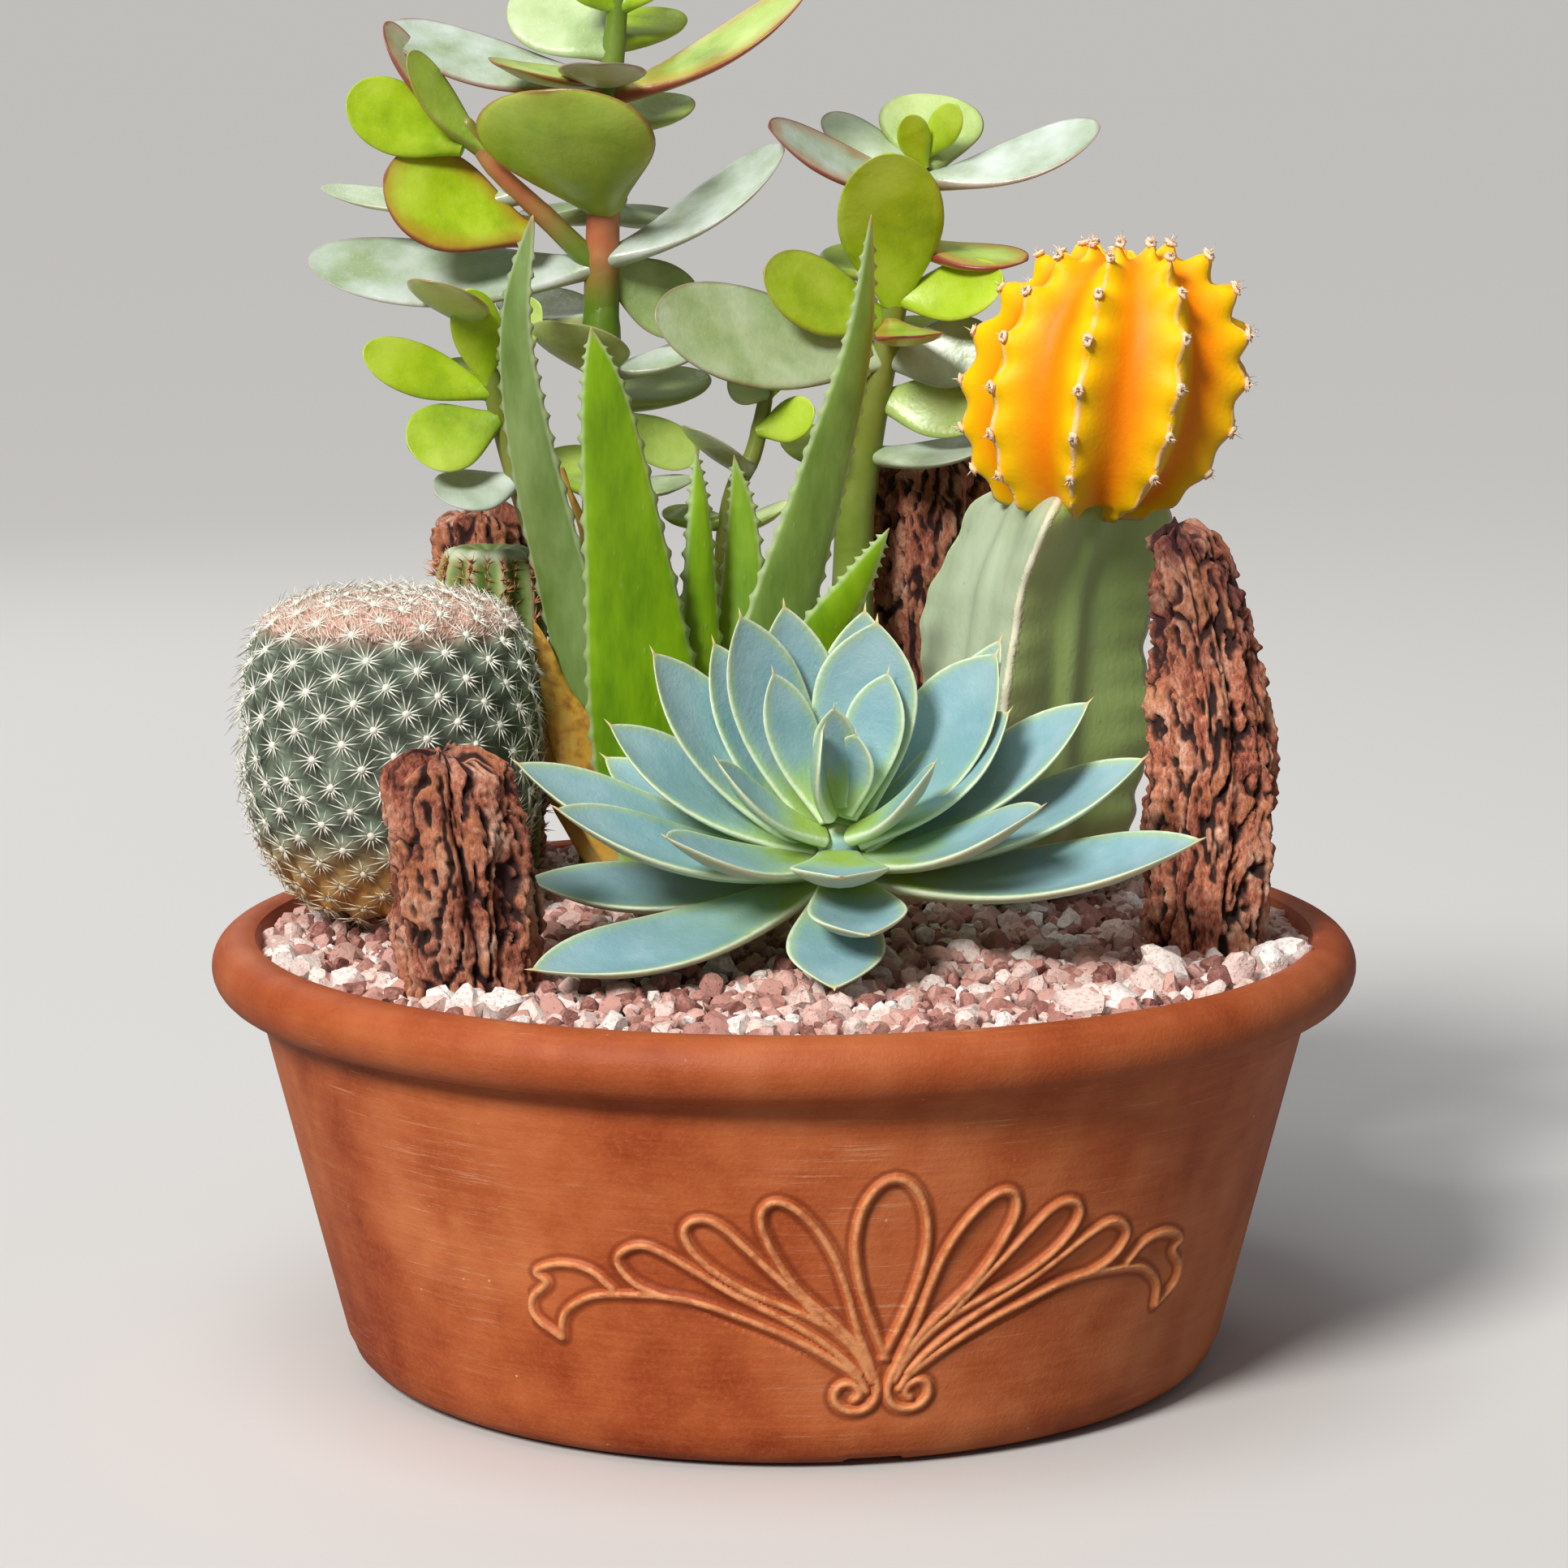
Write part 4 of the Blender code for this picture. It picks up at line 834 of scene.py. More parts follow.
def make_stock(finish):
    """The rootstock: a round body drawn out into three ribs, paler on its left flank."""
    def copy(corner):
        around, polar = angles(corner)
        along = 1 - polar / pi
        spot, edge = stock_spot(around, along)
        turned = STOCK_RIB_TURN - around
        return spot, (edge, along, ease(-0.08, 0.08, sin(turned)) * ease(-0.6, -0.4, cos(turned)))

    body = repeated(ball(150, 90), [copy], ("edge", "along", "bloom"))
    piece("rootstock_stem", body, finish, "moon_cactus_stock")


def head_spot(around, polar):
    """A point on the ribbed, knobbed head, and how near a rib's crest it is. polar is 0 at the crown."""
    off = HEAD_RIBS * (around - HEAD_RIB_TURN) / 2
    ridge = 1 - abs(sin(off))
    bulge = 0.55 * ridge + 0.45 * cos(off) ** 2
    level = max(0, sin(polar)) ** (1 if polar < pi / 2 else 0.8)
    high = ease(2.2, 0.6, polar)
    stray = 0.35 * sin(3 * around + 5 * polar)
    knob = cos(2 * HEAD_AREOLES * polar + stray) * ridge ** mix(2.5, 1.4, high)
    radius = HEAD_RADIUS * (1 + level * (0.2 * bulge - 0.13) + mix(*HEAD_KNOBS, high) * knob)
    crown = 1 - 0.14 * exp(-(polar / 0.35) ** 2)
    spot = HEAD_CENTRE + heading(around) * level * radius + UP * cos(polar) * radius * crown * HEAD_STRETCH
    spot.z = max(spot.z, HEAD_SEAT_Z - 3.5 * ridge ** 2)
    spot.x += HEAD_LEAN * (spot.z - HEAD_CENTRE.z)
    return spot, ridge


def head_areoles():
    """(spot, outward) of the woolly dots along the rib crests."""
    dots = []
    for rib in range(HEAD_RIBS):
        around = HEAD_RIB_TURN + rib * tau / HEAD_RIBS
        for step in range(1, HEAD_AREOLES - 2):
            spot = head_spot(around, pi * step / HEAD_AREOLES)[0]
            dots.append((spot, (spot - HEAD_CENTRE).normalized()))
    return dots


def tuft(spot, outward):
    """A woolly dot with a dark dip at its middle, as a copy of a ball."""
    turn = aimed(outward)

    def copy(corner):
        dip = ease(0.8, 1, corner.z)
        lump = Vector((corner.x, corner.y * 1.35, corner.z * 0.6 * (1 - 0.5 * dip)))
        return spot + turn @ lump * (0.95 + 0.6 * noise.noise(corner * 2.5 + spot)), (dip,)

    return copy


def make_head(skin, wool):
    """The yellow scion, with a woolly dot on every knob and a few short stiff spines."""
    def copy(corner):
        around = HEAD_RIB_TURN - atan2(corner.x, corner.y)
        polar = angles(corner)[1]
        spot, ridge = head_spot(around, polar)
        return spot, (ridge, polar / pi)

    body = repeated(ball(16 * HEAD_RIBS, 84), [copy], ("ridge", "down"))
    piece("moon_head", body, skin, "moon_cactus_head")
    dots = head_areoles()
    thorns = []
    for spot, outward in dots:
        side = outward.cross(UP).normalized()
        for k in (-1, 0, 1):
            direction = outward + side * k * 0.9 + UP * random.uniform(-0.5, 0.4)
            thorns.append(needle(spot, direction, random.uniform(*THORN_LENGTH), THORN_RADIUS, 0))
    tufts = repeated(ball(10, 8), [tuft(*dot) for dot in dots], ("dark",))
    tufts = joined(tufts, repeated(spike(), thorns, ("dark",)))
    piece("moon_head_areoles", tufts, wool, "moon_cactus_head")


def rootstock_skin():
    skin = Finish("rootstock_skin", {"Subsurface Weight": 0.06})
    edge, along, bloom = skin.wears("edge", "along", "bloom")
    mottle = skin.grain(12, detail=4, stretch=(1, 1, 0.3), roughness=0.6)
    fine = skin.grain(1.3)
    fresh = skin.ramp(mottle, (0.3, (0.36, 0.52, 0.14)), (0.5, (0.4, 0.57, 0.18)),
                      (0.7, (0.45, 0.61, 0.22)))
    grey = skin.ramp(mottle, (0.3, (0.35, 0.44, 0.28)), (0.6, (0.48, 0.57, 0.4)))
    skin.coat(skin.blend(bloom, fresh, grey))
    skin.tint(skin.band(along, 0.02, 0.3, 0.5, 0), (0.34, 0.34, 0.14))
    crust = skin.band(edge + (fine - 0.5) * 1.4, 0.4, 1.2, 1, 0)
    skin.tint(crust * 0.9, (0.72, 0.66, 0.5))
    speck = skin.band(skin.cells(3.1), 0.04, 0.13, 1, 0) * skin.band(skin.grain(7), 0.5, 0.6)
    skin.tint(speck * 0.45, (0.12, 0.16, 0.06))
    skin.wire("Roughness", 0.4 + crust * 0.35 + bloom * 0.15)
    skin.relief(fine * 0.4 + mottle + crust, 0.25)
    return skin


def scion_skin():
    skin = Finish("scion_skin", {"Specular IOR Level": 0.2})
    ridge, down = skin.wears("ridge", "down")
    cloud = skin.grain(11)
    # Deeper orange towards the grooves between the ribs, yellow on the crests: painted shade in the
    # grooves.
    skin.coat(ridge + (cloud - 0.5) * 0.5, (0, (0.93, 0.24, 0)), (0.25, (0.96, 0.38, 0)),
              (0.65, (0.98, 0.55, 0)))
    skin.tint(skin.band(down, 0.02, 0.2, 0.35, 0), (0.97, 0.52, 0.02))
    wool = skin.band(ridge, 0.84, 0.98) * skin.band(skin.grain(2.4), 0.35, 0.55)
    wool = wool * skin.band(down, 0.35, 0.7, 0.45, 1)
    skin.tint(wool * 0.9, (0.95, 0.62, 0.4))
    skin.wire("Roughness", 0.44 + cloud * 0.14)
    skin.relief(skin.grain(0.9) * 0.4 + cloud + wool, 0.2)
    return skin


def areole_wool():
    wool = Finish("areole_wool", {"Roughness": 0.95})
    fluff = wool.grain(0.7, detail=2)
    wool.coat((0.95, 0.72, 0.5))
    wool.tint(wool.band(fluff, 0.45, 0.7) * 0.7, (0.85, 0.45, 0.25))
    wool.tint(wool.band(wool.wear("dark"), 0.3, 0.9), (0.24, 0.15, 0.12))
    wool.relief(fluff, 0.3)
    return wool


# Globe cactus and the ribbed one behind it

GLOBE_CENTRE = Vector((-76.0, 6.0, 115.0))
GLOBE_RADIUS = 28.0
GLOBE_HALF_HEIGHT = 31.5
GLOBE_SQUARED = (4.2, 3.0)  # how square its shoulder and its foot are
GLOBE_TUBERCLES = 300
GLOBE_LOWEST = 2.75
TUBERCLE_WIDTH = 3.0
TUBERCLE_HEIGHT = 1.9
TUBERCLE_SINK = 1.3
GLOBE_SPINES = 13
GLOBE_SPINE = 5.4
GLOBE_SPINE_RADIUS = 0.24
CROWN_BRISTLES = 2600
BRISTLE_LENGTH = (1.8, 3.4)
CROWN_REACH = 0.78
REAR_FOOT = (-59.0, 43.0)
REAR_RADIUS = 11.5
REAR_TOP_Z = 154.0
REAR_RIBS = 10
REAR_SPINE_RADIUS = 0.22
REAR_SPINE_LENGTH = (1.8, 3.8)


def globe_spot(around, polar):
    """A point on the globe cactus, a blunt barrel, before its tubercles."""
    squared = GLOBE_SQUARED[0] if polar < pi / 2 else GLOBE_SQUARED[1]
    high = copysign(abs(cos(polar)) ** (2 / squared), cos(polar))
    reach = abs(sin(polar)) ** (2 / squared) * (1 - 0.26 * max(0, -high) ** 2)
    return GLOBE_CENTRE + heading(around) * reach * GLOBE_RADIUS + UP * high * GLOBE_HALF_HEIGHT


def globe_tubercles():
    """(spot, outward) of the tubercles, on a spiral from the crown down that gives each an equal area."""
    areas = [0.0]
    steps = 400
    for i in range(steps):
        near = globe_spot(0, GLOBE_LOWEST * i / steps) - GLOBE_CENTRE
        far = globe_spot(0, GLOBE_LOWEST * (i + 1) / steps) - GLOBE_CENTRE
        areas.append(areas[-1] + (near.x + far.x) * (far - near).length)
    spots = []
    step = 0
    for i in range(GLOBE_TUBERCLES):
        while areas[step] < areas[-1] * (i + 0.5) / GLOBE_TUBERCLES:
            step += 1
        spot = globe_spot(i * GOLDEN_ANGLE, GLOBE_LOWEST * step / steps)
        spots.append((spot, (spot - GLOBE_CENTRE.lerp(spot, 0.25)).normalized()))
    return spots


def wool_dot(spot, outward):
    """The tuft of wool on a tubercle, as a copy of a chip."""
    return lambda corner: (
        spot + outward * 0.5 + corner * (0.85 + 0.3 * noise.noise(corner * 2 + spot)), (0.1,))


def globe_spines(dots):
    """A star of spines on every tubercle, and the short bristles of the crown."""
    rows = []
    for i, (spot, outward) in enumerate(dots):
        side = outward.orthogonal().normalized()
        for k in range(GLOBE_SPINES):
            turn = Matrix.Rotation((k / GLOBE_SPINES + i * 0.17) * tau, 3, outward)
            direction = outward * random.uniform(0.12, 0.42) + turn @ side
            length = GLOBE_SPINE * random.uniform(0.7, 1.1)
            dark = random.uniform(0, 0.4)
            rows.append((spot + outward * 0.5, direction, length, GLOBE_SPINE_RADIUS, dark))
    for _ in range(CROWN_BRISTLES):
        around = random.uniform(0, tau)
        reach = random.random() ** 0.6
        foot = globe_spot(around, CROWN_REACH * reach) - UP * 1.5
        direction = heading(around) * (0.2 + 0.9 * reach ** 3) + UP + random_turn() @ UP * 0.35
        length = random.uniform(*BRISTLE_LENGTH)
        rows.append((foot, direction, length, GLOBE_SPINE_RADIUS, random.uniform(0.5, 1)))
    return repeated(spike(), [needle(*row) for row in rows], ("blush",))


def make_globe(skin, spines):
    """The globe cactus: a barrel of tubercles, each with a star of white spines and a tuft of wool."""
    dots = globe_tubercles()
    tree = nearest([spot for spot, _ in dots])

    def copy(corner):
        spot = globe_spot(*angles(corner))
        raised = exp(-(tree.find(spot)[2] / TUBERCLE_WIDTH) ** 2)
        outward = (spot - GLOBE_CENTRE).normalized()
        return spot + outward * (TUBERCLE_HEIGHT * raised - TUBERCLE_SINK), (raised,)

    body = repeated(ball(150, 100), [copy], ("raised",))
    piece("globe_body", body, skin, "globe_cactus")
    wool = repeated(chip(2), [wool_dot(*dot) for dot in dots], ("blush",))
    piece("globe_spines", joined(globe_spines(dots), wool), spines, "globe_cactus")


def make_rear_cactus(skin, spines):
    """The small ribbed cactus: a flat crown with a pale edge, and rust-coloured spines down its ribs."""
    low = ground(*REAR_FOOT) - 3
    half = (REAR_TOP_Z - low) / 2
    middle = Vector((*REAR_FOOT, low + half))

    def rib_spot(around, polar):
        ring = max(0, sin(polar)) ** 0.36
        ridge = 0.88 + 0.16 * cos(REAR_RIBS * around / 2) ** 2
        high = copysign(abs(cos(polar)) ** 0.5, cos(polar))
        reach = ring * ridge * REAR_RADIUS * (0.84 + 0.16 * ease(-0.4, 0.9, high))
        dish = 3 * exp(-(ring / 0.6) ** 2) if high > 0 else 0
        return middle + heading(around) * reach + UP * (half * high - dish)

    def copy(corner):
        around, polar = angles(corner)
        spot = rib_spot(around, polar)
        reach = (spot - middle).to_2d().length / REAR_RADIUS
        crown = ease(REAR_TOP_Z - 4.5, REAR_TOP_Z - 2.5, spot.z) * ease(0.5, 0.75, reach)
        return spot, (cos(REAR_RIBS * around / 2) ** 2, crown)

    body = repeated(ball(100, 80), [copy], ("ridge", "crown"))
    piece("rear_cactus_body", body, skin, "rear_cactus")
    rows = []
    for rib in range(REAR_RIBS * 2):
        around = rib * pi / REAR_RIBS
        for step in range(16):
            polar = 0.62 + step * 0.12
            for _ in range(7 if rib % 2 == 0 else 3):
                direction = heading(around, 0.3 if polar < 0.8 else 0.1) + random_turn() @ UP * 1.1
                length = random.uniform(*REAR_SPINE_LENGTH)
                dark = random.random()
                rows.append((rib_spot(around, polar), direction, length, REAR_SPINE_RADIUS, dark))
    bristles = repeated(spike(), [needle(*row) for row in rows], ("blush",))
    piece("rear_cactus_spines", bristles, spines, "rear_cactus")


def globe_skin():
    skin = Finish("globe_skin", {"Roughness": 0.7})
    mottle = skin.grain(5)
    # Darker down between the tubercles, near black in the grooves: painted shade.
    skin.coat(skin.wear("raised") + (mottle - 0.5) * 0.3, (0, (0.02, 0.026, 0.018)),
              (0.4, (0.08, 0.105, 0.07)), (0.85, (0.24, 0.3, 0.22)))
    height = skin.height()
    skin.tint(skin.band(height, 0.088, 0.106, 0.85, 0), (0.62, 0.3, 0.06))
    skin.tint(skin.band(height, 0.138, 0.1445) * 0.85, (0.66, 0.36, 0.27))
    skin.relief(mottle + skin.grain(0.8) * 0.5, 0.3)
    return skin


def spine_finish(name, pale, dark, warm):
    """Spines: pale, darker by chance, and warm near the plant's foot."""
    spine = Finish(name, {"Roughness": 0.6})
    spine.coat(pale)
    spine.tint(spine.band(spine.wear("blush"), 0.2, 1), dark)
    spine.tint(spine.band(spine.height(), 0.09, 0.106, 0.7, 0), warm)
    spine.tint(spine.grain(3) * 0.25, (0.55, 0.47, 0.36))
    return spine


def ribbed_skin():
    skin = Finish("ribbed_skin", {"Roughness": 0.6})
    mottle = skin.grain(4)
    # Darker down the grooves between the ribs, paler on the crests: painted shade in the grooves.
    skin.coat(skin.wear("ridge") + (mottle - 0.5) * 0.4, (0.1, (0.09, 0.15, 0.02)),
              (0.6, (0.19, 0.29, 0.06)), (0.95, (0.42, 0.44, 0.22)))
    skin.tint(skin.band(skin.height(), 0.1475, 0.1515) * 0.6, (0.2, 0.27, 0.06))
    skin.tint(skin.wear("crown") * 0.9, (0.6, 0.68, 0.52))
    skin.relief(mottle, 0.3)
    return skin


# Weathered wood

# Each piece: rings up its middle line as (x, y, z, radius), the seed of its furrows, its depth as a
# share of its breadth, and the sides and rings of its mesh
WOOD_SHAPES = {
    "wood_front": (
        ((-57.5, -56, 80, 11.2), (-58, -56.5, 96, 12), (-59.5, -56.5, 112, 11.5), (-61.5, -56, 126.5, 10)),
        3.1, 0.78, 170, 130),
    "wood_right": (
        ((79.5, -21, 80, 9.4), (79.9, -20, 104, 9.7), (80.6, -18, 124, 9.6), (78.4, -15, 145, 7.3),
         (74.2, -12, 163, 4.8)),
        8.4, 0.85, 170, 190),
    "wood_back_centre": (
        ((31, 57, 82, 11), (31, 57, 112, 12), (31, 56, 140, 12), (31, 55, 170, 11)), 5.7, 0.62, 130, 150),
    "wood_back_left": (
        ((-57.5, 60.5, 80, 7), (-59, 61, 110, 8), (-61, 62, 135, 8.5), (-62, 62, 158.5, 8)),
        9.9, 0.72, 110, 140),
}
FURROW_DEPTH = 0.42
FISSURE_DEPTH = 1.5
HOLE_DEPTH = 1.2
FIBRE_HEIGHT = 0.75
KNOB_HEIGHT = 0.9
RAGGED_HEIGHT = 1.8
WOOD_SKIN = 0.7  # millimetres that the bark stands out before it is furrowed
WOOD_TOP = 4.0  # millimetres in which a log's top is rounded
# Heights over which wood_right is painted darker towards its top: a painted shadow.
SHADOW_LOW_Z = 130.0
SHADOW_HIGH_Z = 150.0
WOOD_LABELS = ("deep", "warm", "stain")


def bark(around, z, radius, seed):
    """How far the bark is sunk in at a place, in millimetres: fissures, holes, fibres and grains."""
    x = cos(around) * radius + 1.6 * noise.noise(Vector((z / 7, around * 1.5, seed)))
    y = sin(around) * radius + 1.6 * noise.noise(Vector((z / 7, around * 1.5, -seed)))

    def grain(width, length, shift):
        return noise.noise(Vector((x / width, y / width, z / length + shift * seed)))

    fissure = FISSURE_DEPTH * (1 - ease(0, 0.14, abs(grain(4.2, 19, 1))))
    hole = HOLE_DEPTH * ease(0.1, 0.42, grain(1.6, 3.8, -1))
    return fissure + hole - FIBRE_HEIGHT * (grain(1.3, 5, 2) + grain(0.85, 1.3, 3))


def make_wood(name, finish):
    """A weathered piece of wood: a furrowed, cracked log up a middle line, broken off at its top."""
    points, seed, flat, sides, rings = WOOD_SHAPES[name]
    path = smooth_path([row[:3] for row in points])
    girth = smooth_path([(row[3], 0, 0) for row in points])
    height = points[-1][2] - points[0][2]

    def copy(corner):
        around, polar = angles(corner)
        t = 1 - polar / pi
        out = heading(around)
        furrow = noise.noise(out * 3 + Vector((seed, 0, 1.5 * t)))
        middle = path(t) + UP * 5 * noise.noise(Vector((seed, 2 * around, 0))) * t ** 6
        radius = girth(t).x * (1 + FURROW_DEPTH * furrow * min(1, 0.3 + 3 * t))
        sunk = bark(around, middle.z, radius, seed)
        knob = noise.noise(out * 2 + UP * (middle.z / 8 + seed))
        # Painted shadow: rising to full over the top of wood_right, a light even amount on the other
        # pieces.
        stain = ease(SHADOW_LOW_Z, SHADOW_HIGH_Z, middle.z) if name == "wood_right" else 0.35
        closing = min(1, sqrt((1 - t) * height / WOOD_TOP)) * min(1, sqrt(t / 0.03))
        radius = (radius + WOOD_SKIN - sunk + KNOB_HEIGHT * knob) * closing
        ragged = RAGGED_HEIGHT * noise.noise(out * 3 + UP * (radius / 3 + seed))
        middle += UP * (ragged * ease(0.9, 1, t) - ease(0.955, 1, t) * 1.5)
        return middle + Vector((out.x, out.y * flat, 0)) * radius, (sunk, knob, stain)

    log = repeated(ball(sides, rings), [copy], WOOD_LABELS)
    piece(name + "_bark", log, finish, name)


def old_wood():
    wood = Finish("old_wood", {"Roughness": 0.9})
    deep, warm, stain = wood.wears("deep", "warm", "stain")
    grain = wood.grain(1.2, detail=5, stretch=(1, 1, 0.45), roughness=0.8, swirl=0.4)
    patch = wood.grain(9)
    # Paler on the raised knobs (warm) and, below, pale tan on the raised fibres: painted highlights.
    wood.coat(grain + warm * 0.25, (0.28, (0.1, 0.02, 0.012)), (0.4, (0.4, 0.11, 0.06)),
              (0.52, (0.64, 0.23, 0.13)), (0.64, (0.8, 0.42, 0.28)), (0.78, (0.9, 0.64, 0.5)))
    wood.tint(wood.band(patch, 0.48, 0.7) * 0.5, (0.68, 0.27, 0.1))
    wood.tint(wood.band(deep, -1, -0.15, 0.55, 0), (0.86, 0.52, 0.38))
    # Painted shade: near black down in the fissures and holes.
    wood.tint(wood.band(deep, 0.1, 1.2) * 0.96, (0.012, 0.003, 0.003))
    # Painted shadow: dark purple over the top of wood_right, and lightly over the other pieces.
    wood.tint(stain * wood.band(patch, 0.3, 0.6, 0.75, 0.35), (0.07, 0.012, 0.016))
    wood.relief(grain + patch * 0.3, 0.8)
    return wood


# Aloe

ALOE_SHAPE = (0.92, 0.16, 1.0, 0.85)
ALOE_BLUNT = (0.92, 0.16, 1.35, 0.62)
ALOE_THICKNESS = 5.5
ALOE_CUP = 0.12
ALOE_TOOTH = 0.9
ALOE_RIPPLE = 1.2
ALOE_DRIED = 0.8  # the tone from which a leaf is dried: rippled and without teeth
ALOE_LEAVES = (  # middle line, width, face and tone: 0 green, 0.5 grey, 1 dried
    (((-22, 18, 90), (-33, 13, 112), (-41.5, 8, 146), (-48.5, 3, 178), (-50.6, 0, 200), (-47.2, -3, 220)),
     12.8, (-0.35, -0.9, 0.1), 0.5, ALOE_BLUNT),
    (((-18, 10, 90), (-26, 9, 120), (-30, 4, 152), (-34, -1, 184), (-36.5, -3, 199)),
     26, (0.1, -1, 0.2), 0),
    (((-16, 15, 90), (-16.5, 14, 129), (-16.5, 12, 159), (-17, 11, 175)), 11, (0.3, -1, 0.2), 0.1),
    (((-14, 17, 90), (-9, 19, 128), (-8, 20, 158), (-9.7, 18, 173)), 14, (-0.2, -1, 0.2), 0.2),
    (((-12, 12, 90), (-3, 11, 135), (6.5, 8, 168), (14, 4, 196), (16.5, 1, 220)),
     17, (0.5, -0.85, 0.15), 0.35),
    (((-10, 11, 90), (3, 7, 131), (13.8, 0, 150), (20, -5, 161)), 12.5, (0.3, -0.9, 0.4), 0.1),
    (((-19, 17, 90), (-28, 21, 125), (-36, 22, 150), (-44, 24, 170)), 10, (0.5, 0.8, 0.4), 0.8),
    (((-23, 13, 90), (-35.5, 10, 108), (-43, 9, 124), (-48.5, 9, 142)), 17, (0.2, -1, 0.2), 1),
    (((-21, 19, 88), (-35, 21, 98), (-44, 23, 110), (-49, 25, 124)), 18, (0.2, -1, 0.3), 0.85),
)


def aloe_leaf(points, width, face, tone, shape=ALOE_SHAPE):
    """One leaf: toothed while it is fresh, rippled once it is dried."""
    edge = {"ripple": ALOE_RIPPLE} if tone >= ALOE_DRIED else {"teeth": ALOE_TOOTH}
    return blade(smooth_path(points), face, width, ALOE_THICKNESS, shape, even=True, cup=ALOE_CUP,
                 tone=tone, **edge)


def make_aloe(finish):
    """The aloe: a fan of long leaves from one short stem, with saw teeth on their edges."""
    leaves = [aloe_leaf(*row) for row in ALOE_LEAVES]
    leaves.append(stem(((-17, 13, 78), (-17, 13, 90), (-17, 13, 100)), (7.5, 5), tone=0.3))
    piece("aloe_leaves", grown(leaves, 16, 150), finish, "aloe")


def aloe_skin():
    skin = Finish("aloe_skin", {"Subsurface Weight": 0.1})
    edge, along, tone = skin.wears("edge", "along", "tone")
    flow = skin.grain(7, detail=4, stretch=(1, 1, 0.25), roughness=0.6)
    fleck = skin.band(skin.cells(2.6, (1, 1, 0.4)), 0.05, 0.15, 0.5, 0)
    fresh = skin.ramp(flow + along * 0.3 - 0.15, (0.3, (0.1, 0.24, 0)), (0.55, (0.2, 0.39, 0)),
                      (0.8, (0.31, 0.5, 0.01)))
    grey = skin.ramp(flow, (0.3, (0.1, 0.19, 0.03)), (0.7, (0.24, 0.35, 0.12)))
    dried = skin.ramp(flow + (skin.grain(2.2) - 0.5) * 0.7, (0.3, (0.28, 0.12, 0.02)),
                      (0.5, (0.62, 0.32, 0.04)), (0.75, (0.55, 0.42, 0.12)))
    skin.coat(skin.blend(skin.band(tone, 0.05, 0.55), fresh, grey))
    skin.tint(skin.band(along, 0, 0.22, 0.6, 0), (0.34, 0.42, 0.14))
    skin.tint(fleck * skin.band(along, 0.1, 0.7, 0.45, 0.1), (0.5, 0.58, 0.36))
    skin.tint(skin.band(edge, 0.1, 0.9, 0.6, 0), (0.52, 0.6, 0.34))
    skin.tint(skin.band(along, 0.95, 1) * 0.7, (0.42, 0.2, 0.08))
    skin.tint(skin.band(tone, 0.65, 0.8), dried)
    skin.wire("Roughness", 0.3 + flow * 0.2)
    skin.relief(flow + fleck * 0.3, 0.3)
    return skin


# Jade plants

JADE_SHAPE = (0.27, 0.62, 2.3, 0.5)
JADE_THICKNESS = 2.8
JADE_PLUMPNESS = 0.09
JADE_ARCH = 0.07
JADE_CUP = 0.12
TOP = (0, -0.3, 1)
TOWARD = (0, -1, 0.45)
JADE_STEMS = {  # points, the radii at the two ends, and how red the stem is
    "jade_left": (
        (((-36, 33, 78), (-36, 32, 110), (-36, 31, 150), (-35.6, 30, 209)), (5.4, 3.5), 0),
        (((-36, 31, 196), (-35.6, 30, 209), (-35.2, 29, 222), (-34.5, 28.5, 232)), (3.6, 3), 1),
        (((-34.8, 28.6, 226), (-34, 28, 240), (-32.5, 28, 256), (-31, 28, 270)), (3, 1.6), 0),
        (((-36, 30, 208), (-47, 28, 219), (-57, 25, 229), (-62, 24, 238)), (2.4, 1.3), 0.9),
        (((-36, 32, 128), (-46, 31, 150), (-52, 30, 166), (-57, 28, 185), (-60, 28, 202)), (3.4, 1.6), 0.1),
    ),
    "jade_right": (
        (((14, 42, 78), (13.8, 42, 148), (16, 42, 171), (20, 41, 192), (23, 40, 206), (28, 41, 234)),
         (4.6, 1.8), 0.1),
    ),
    "jade_low": (
        (((-13, 37, 78), (-13, 37, 120), (-11, 36, 159), (-6, 35, 172), (-3, 34, 186)), (2.7, 1.4), 0.1),
    ),
}
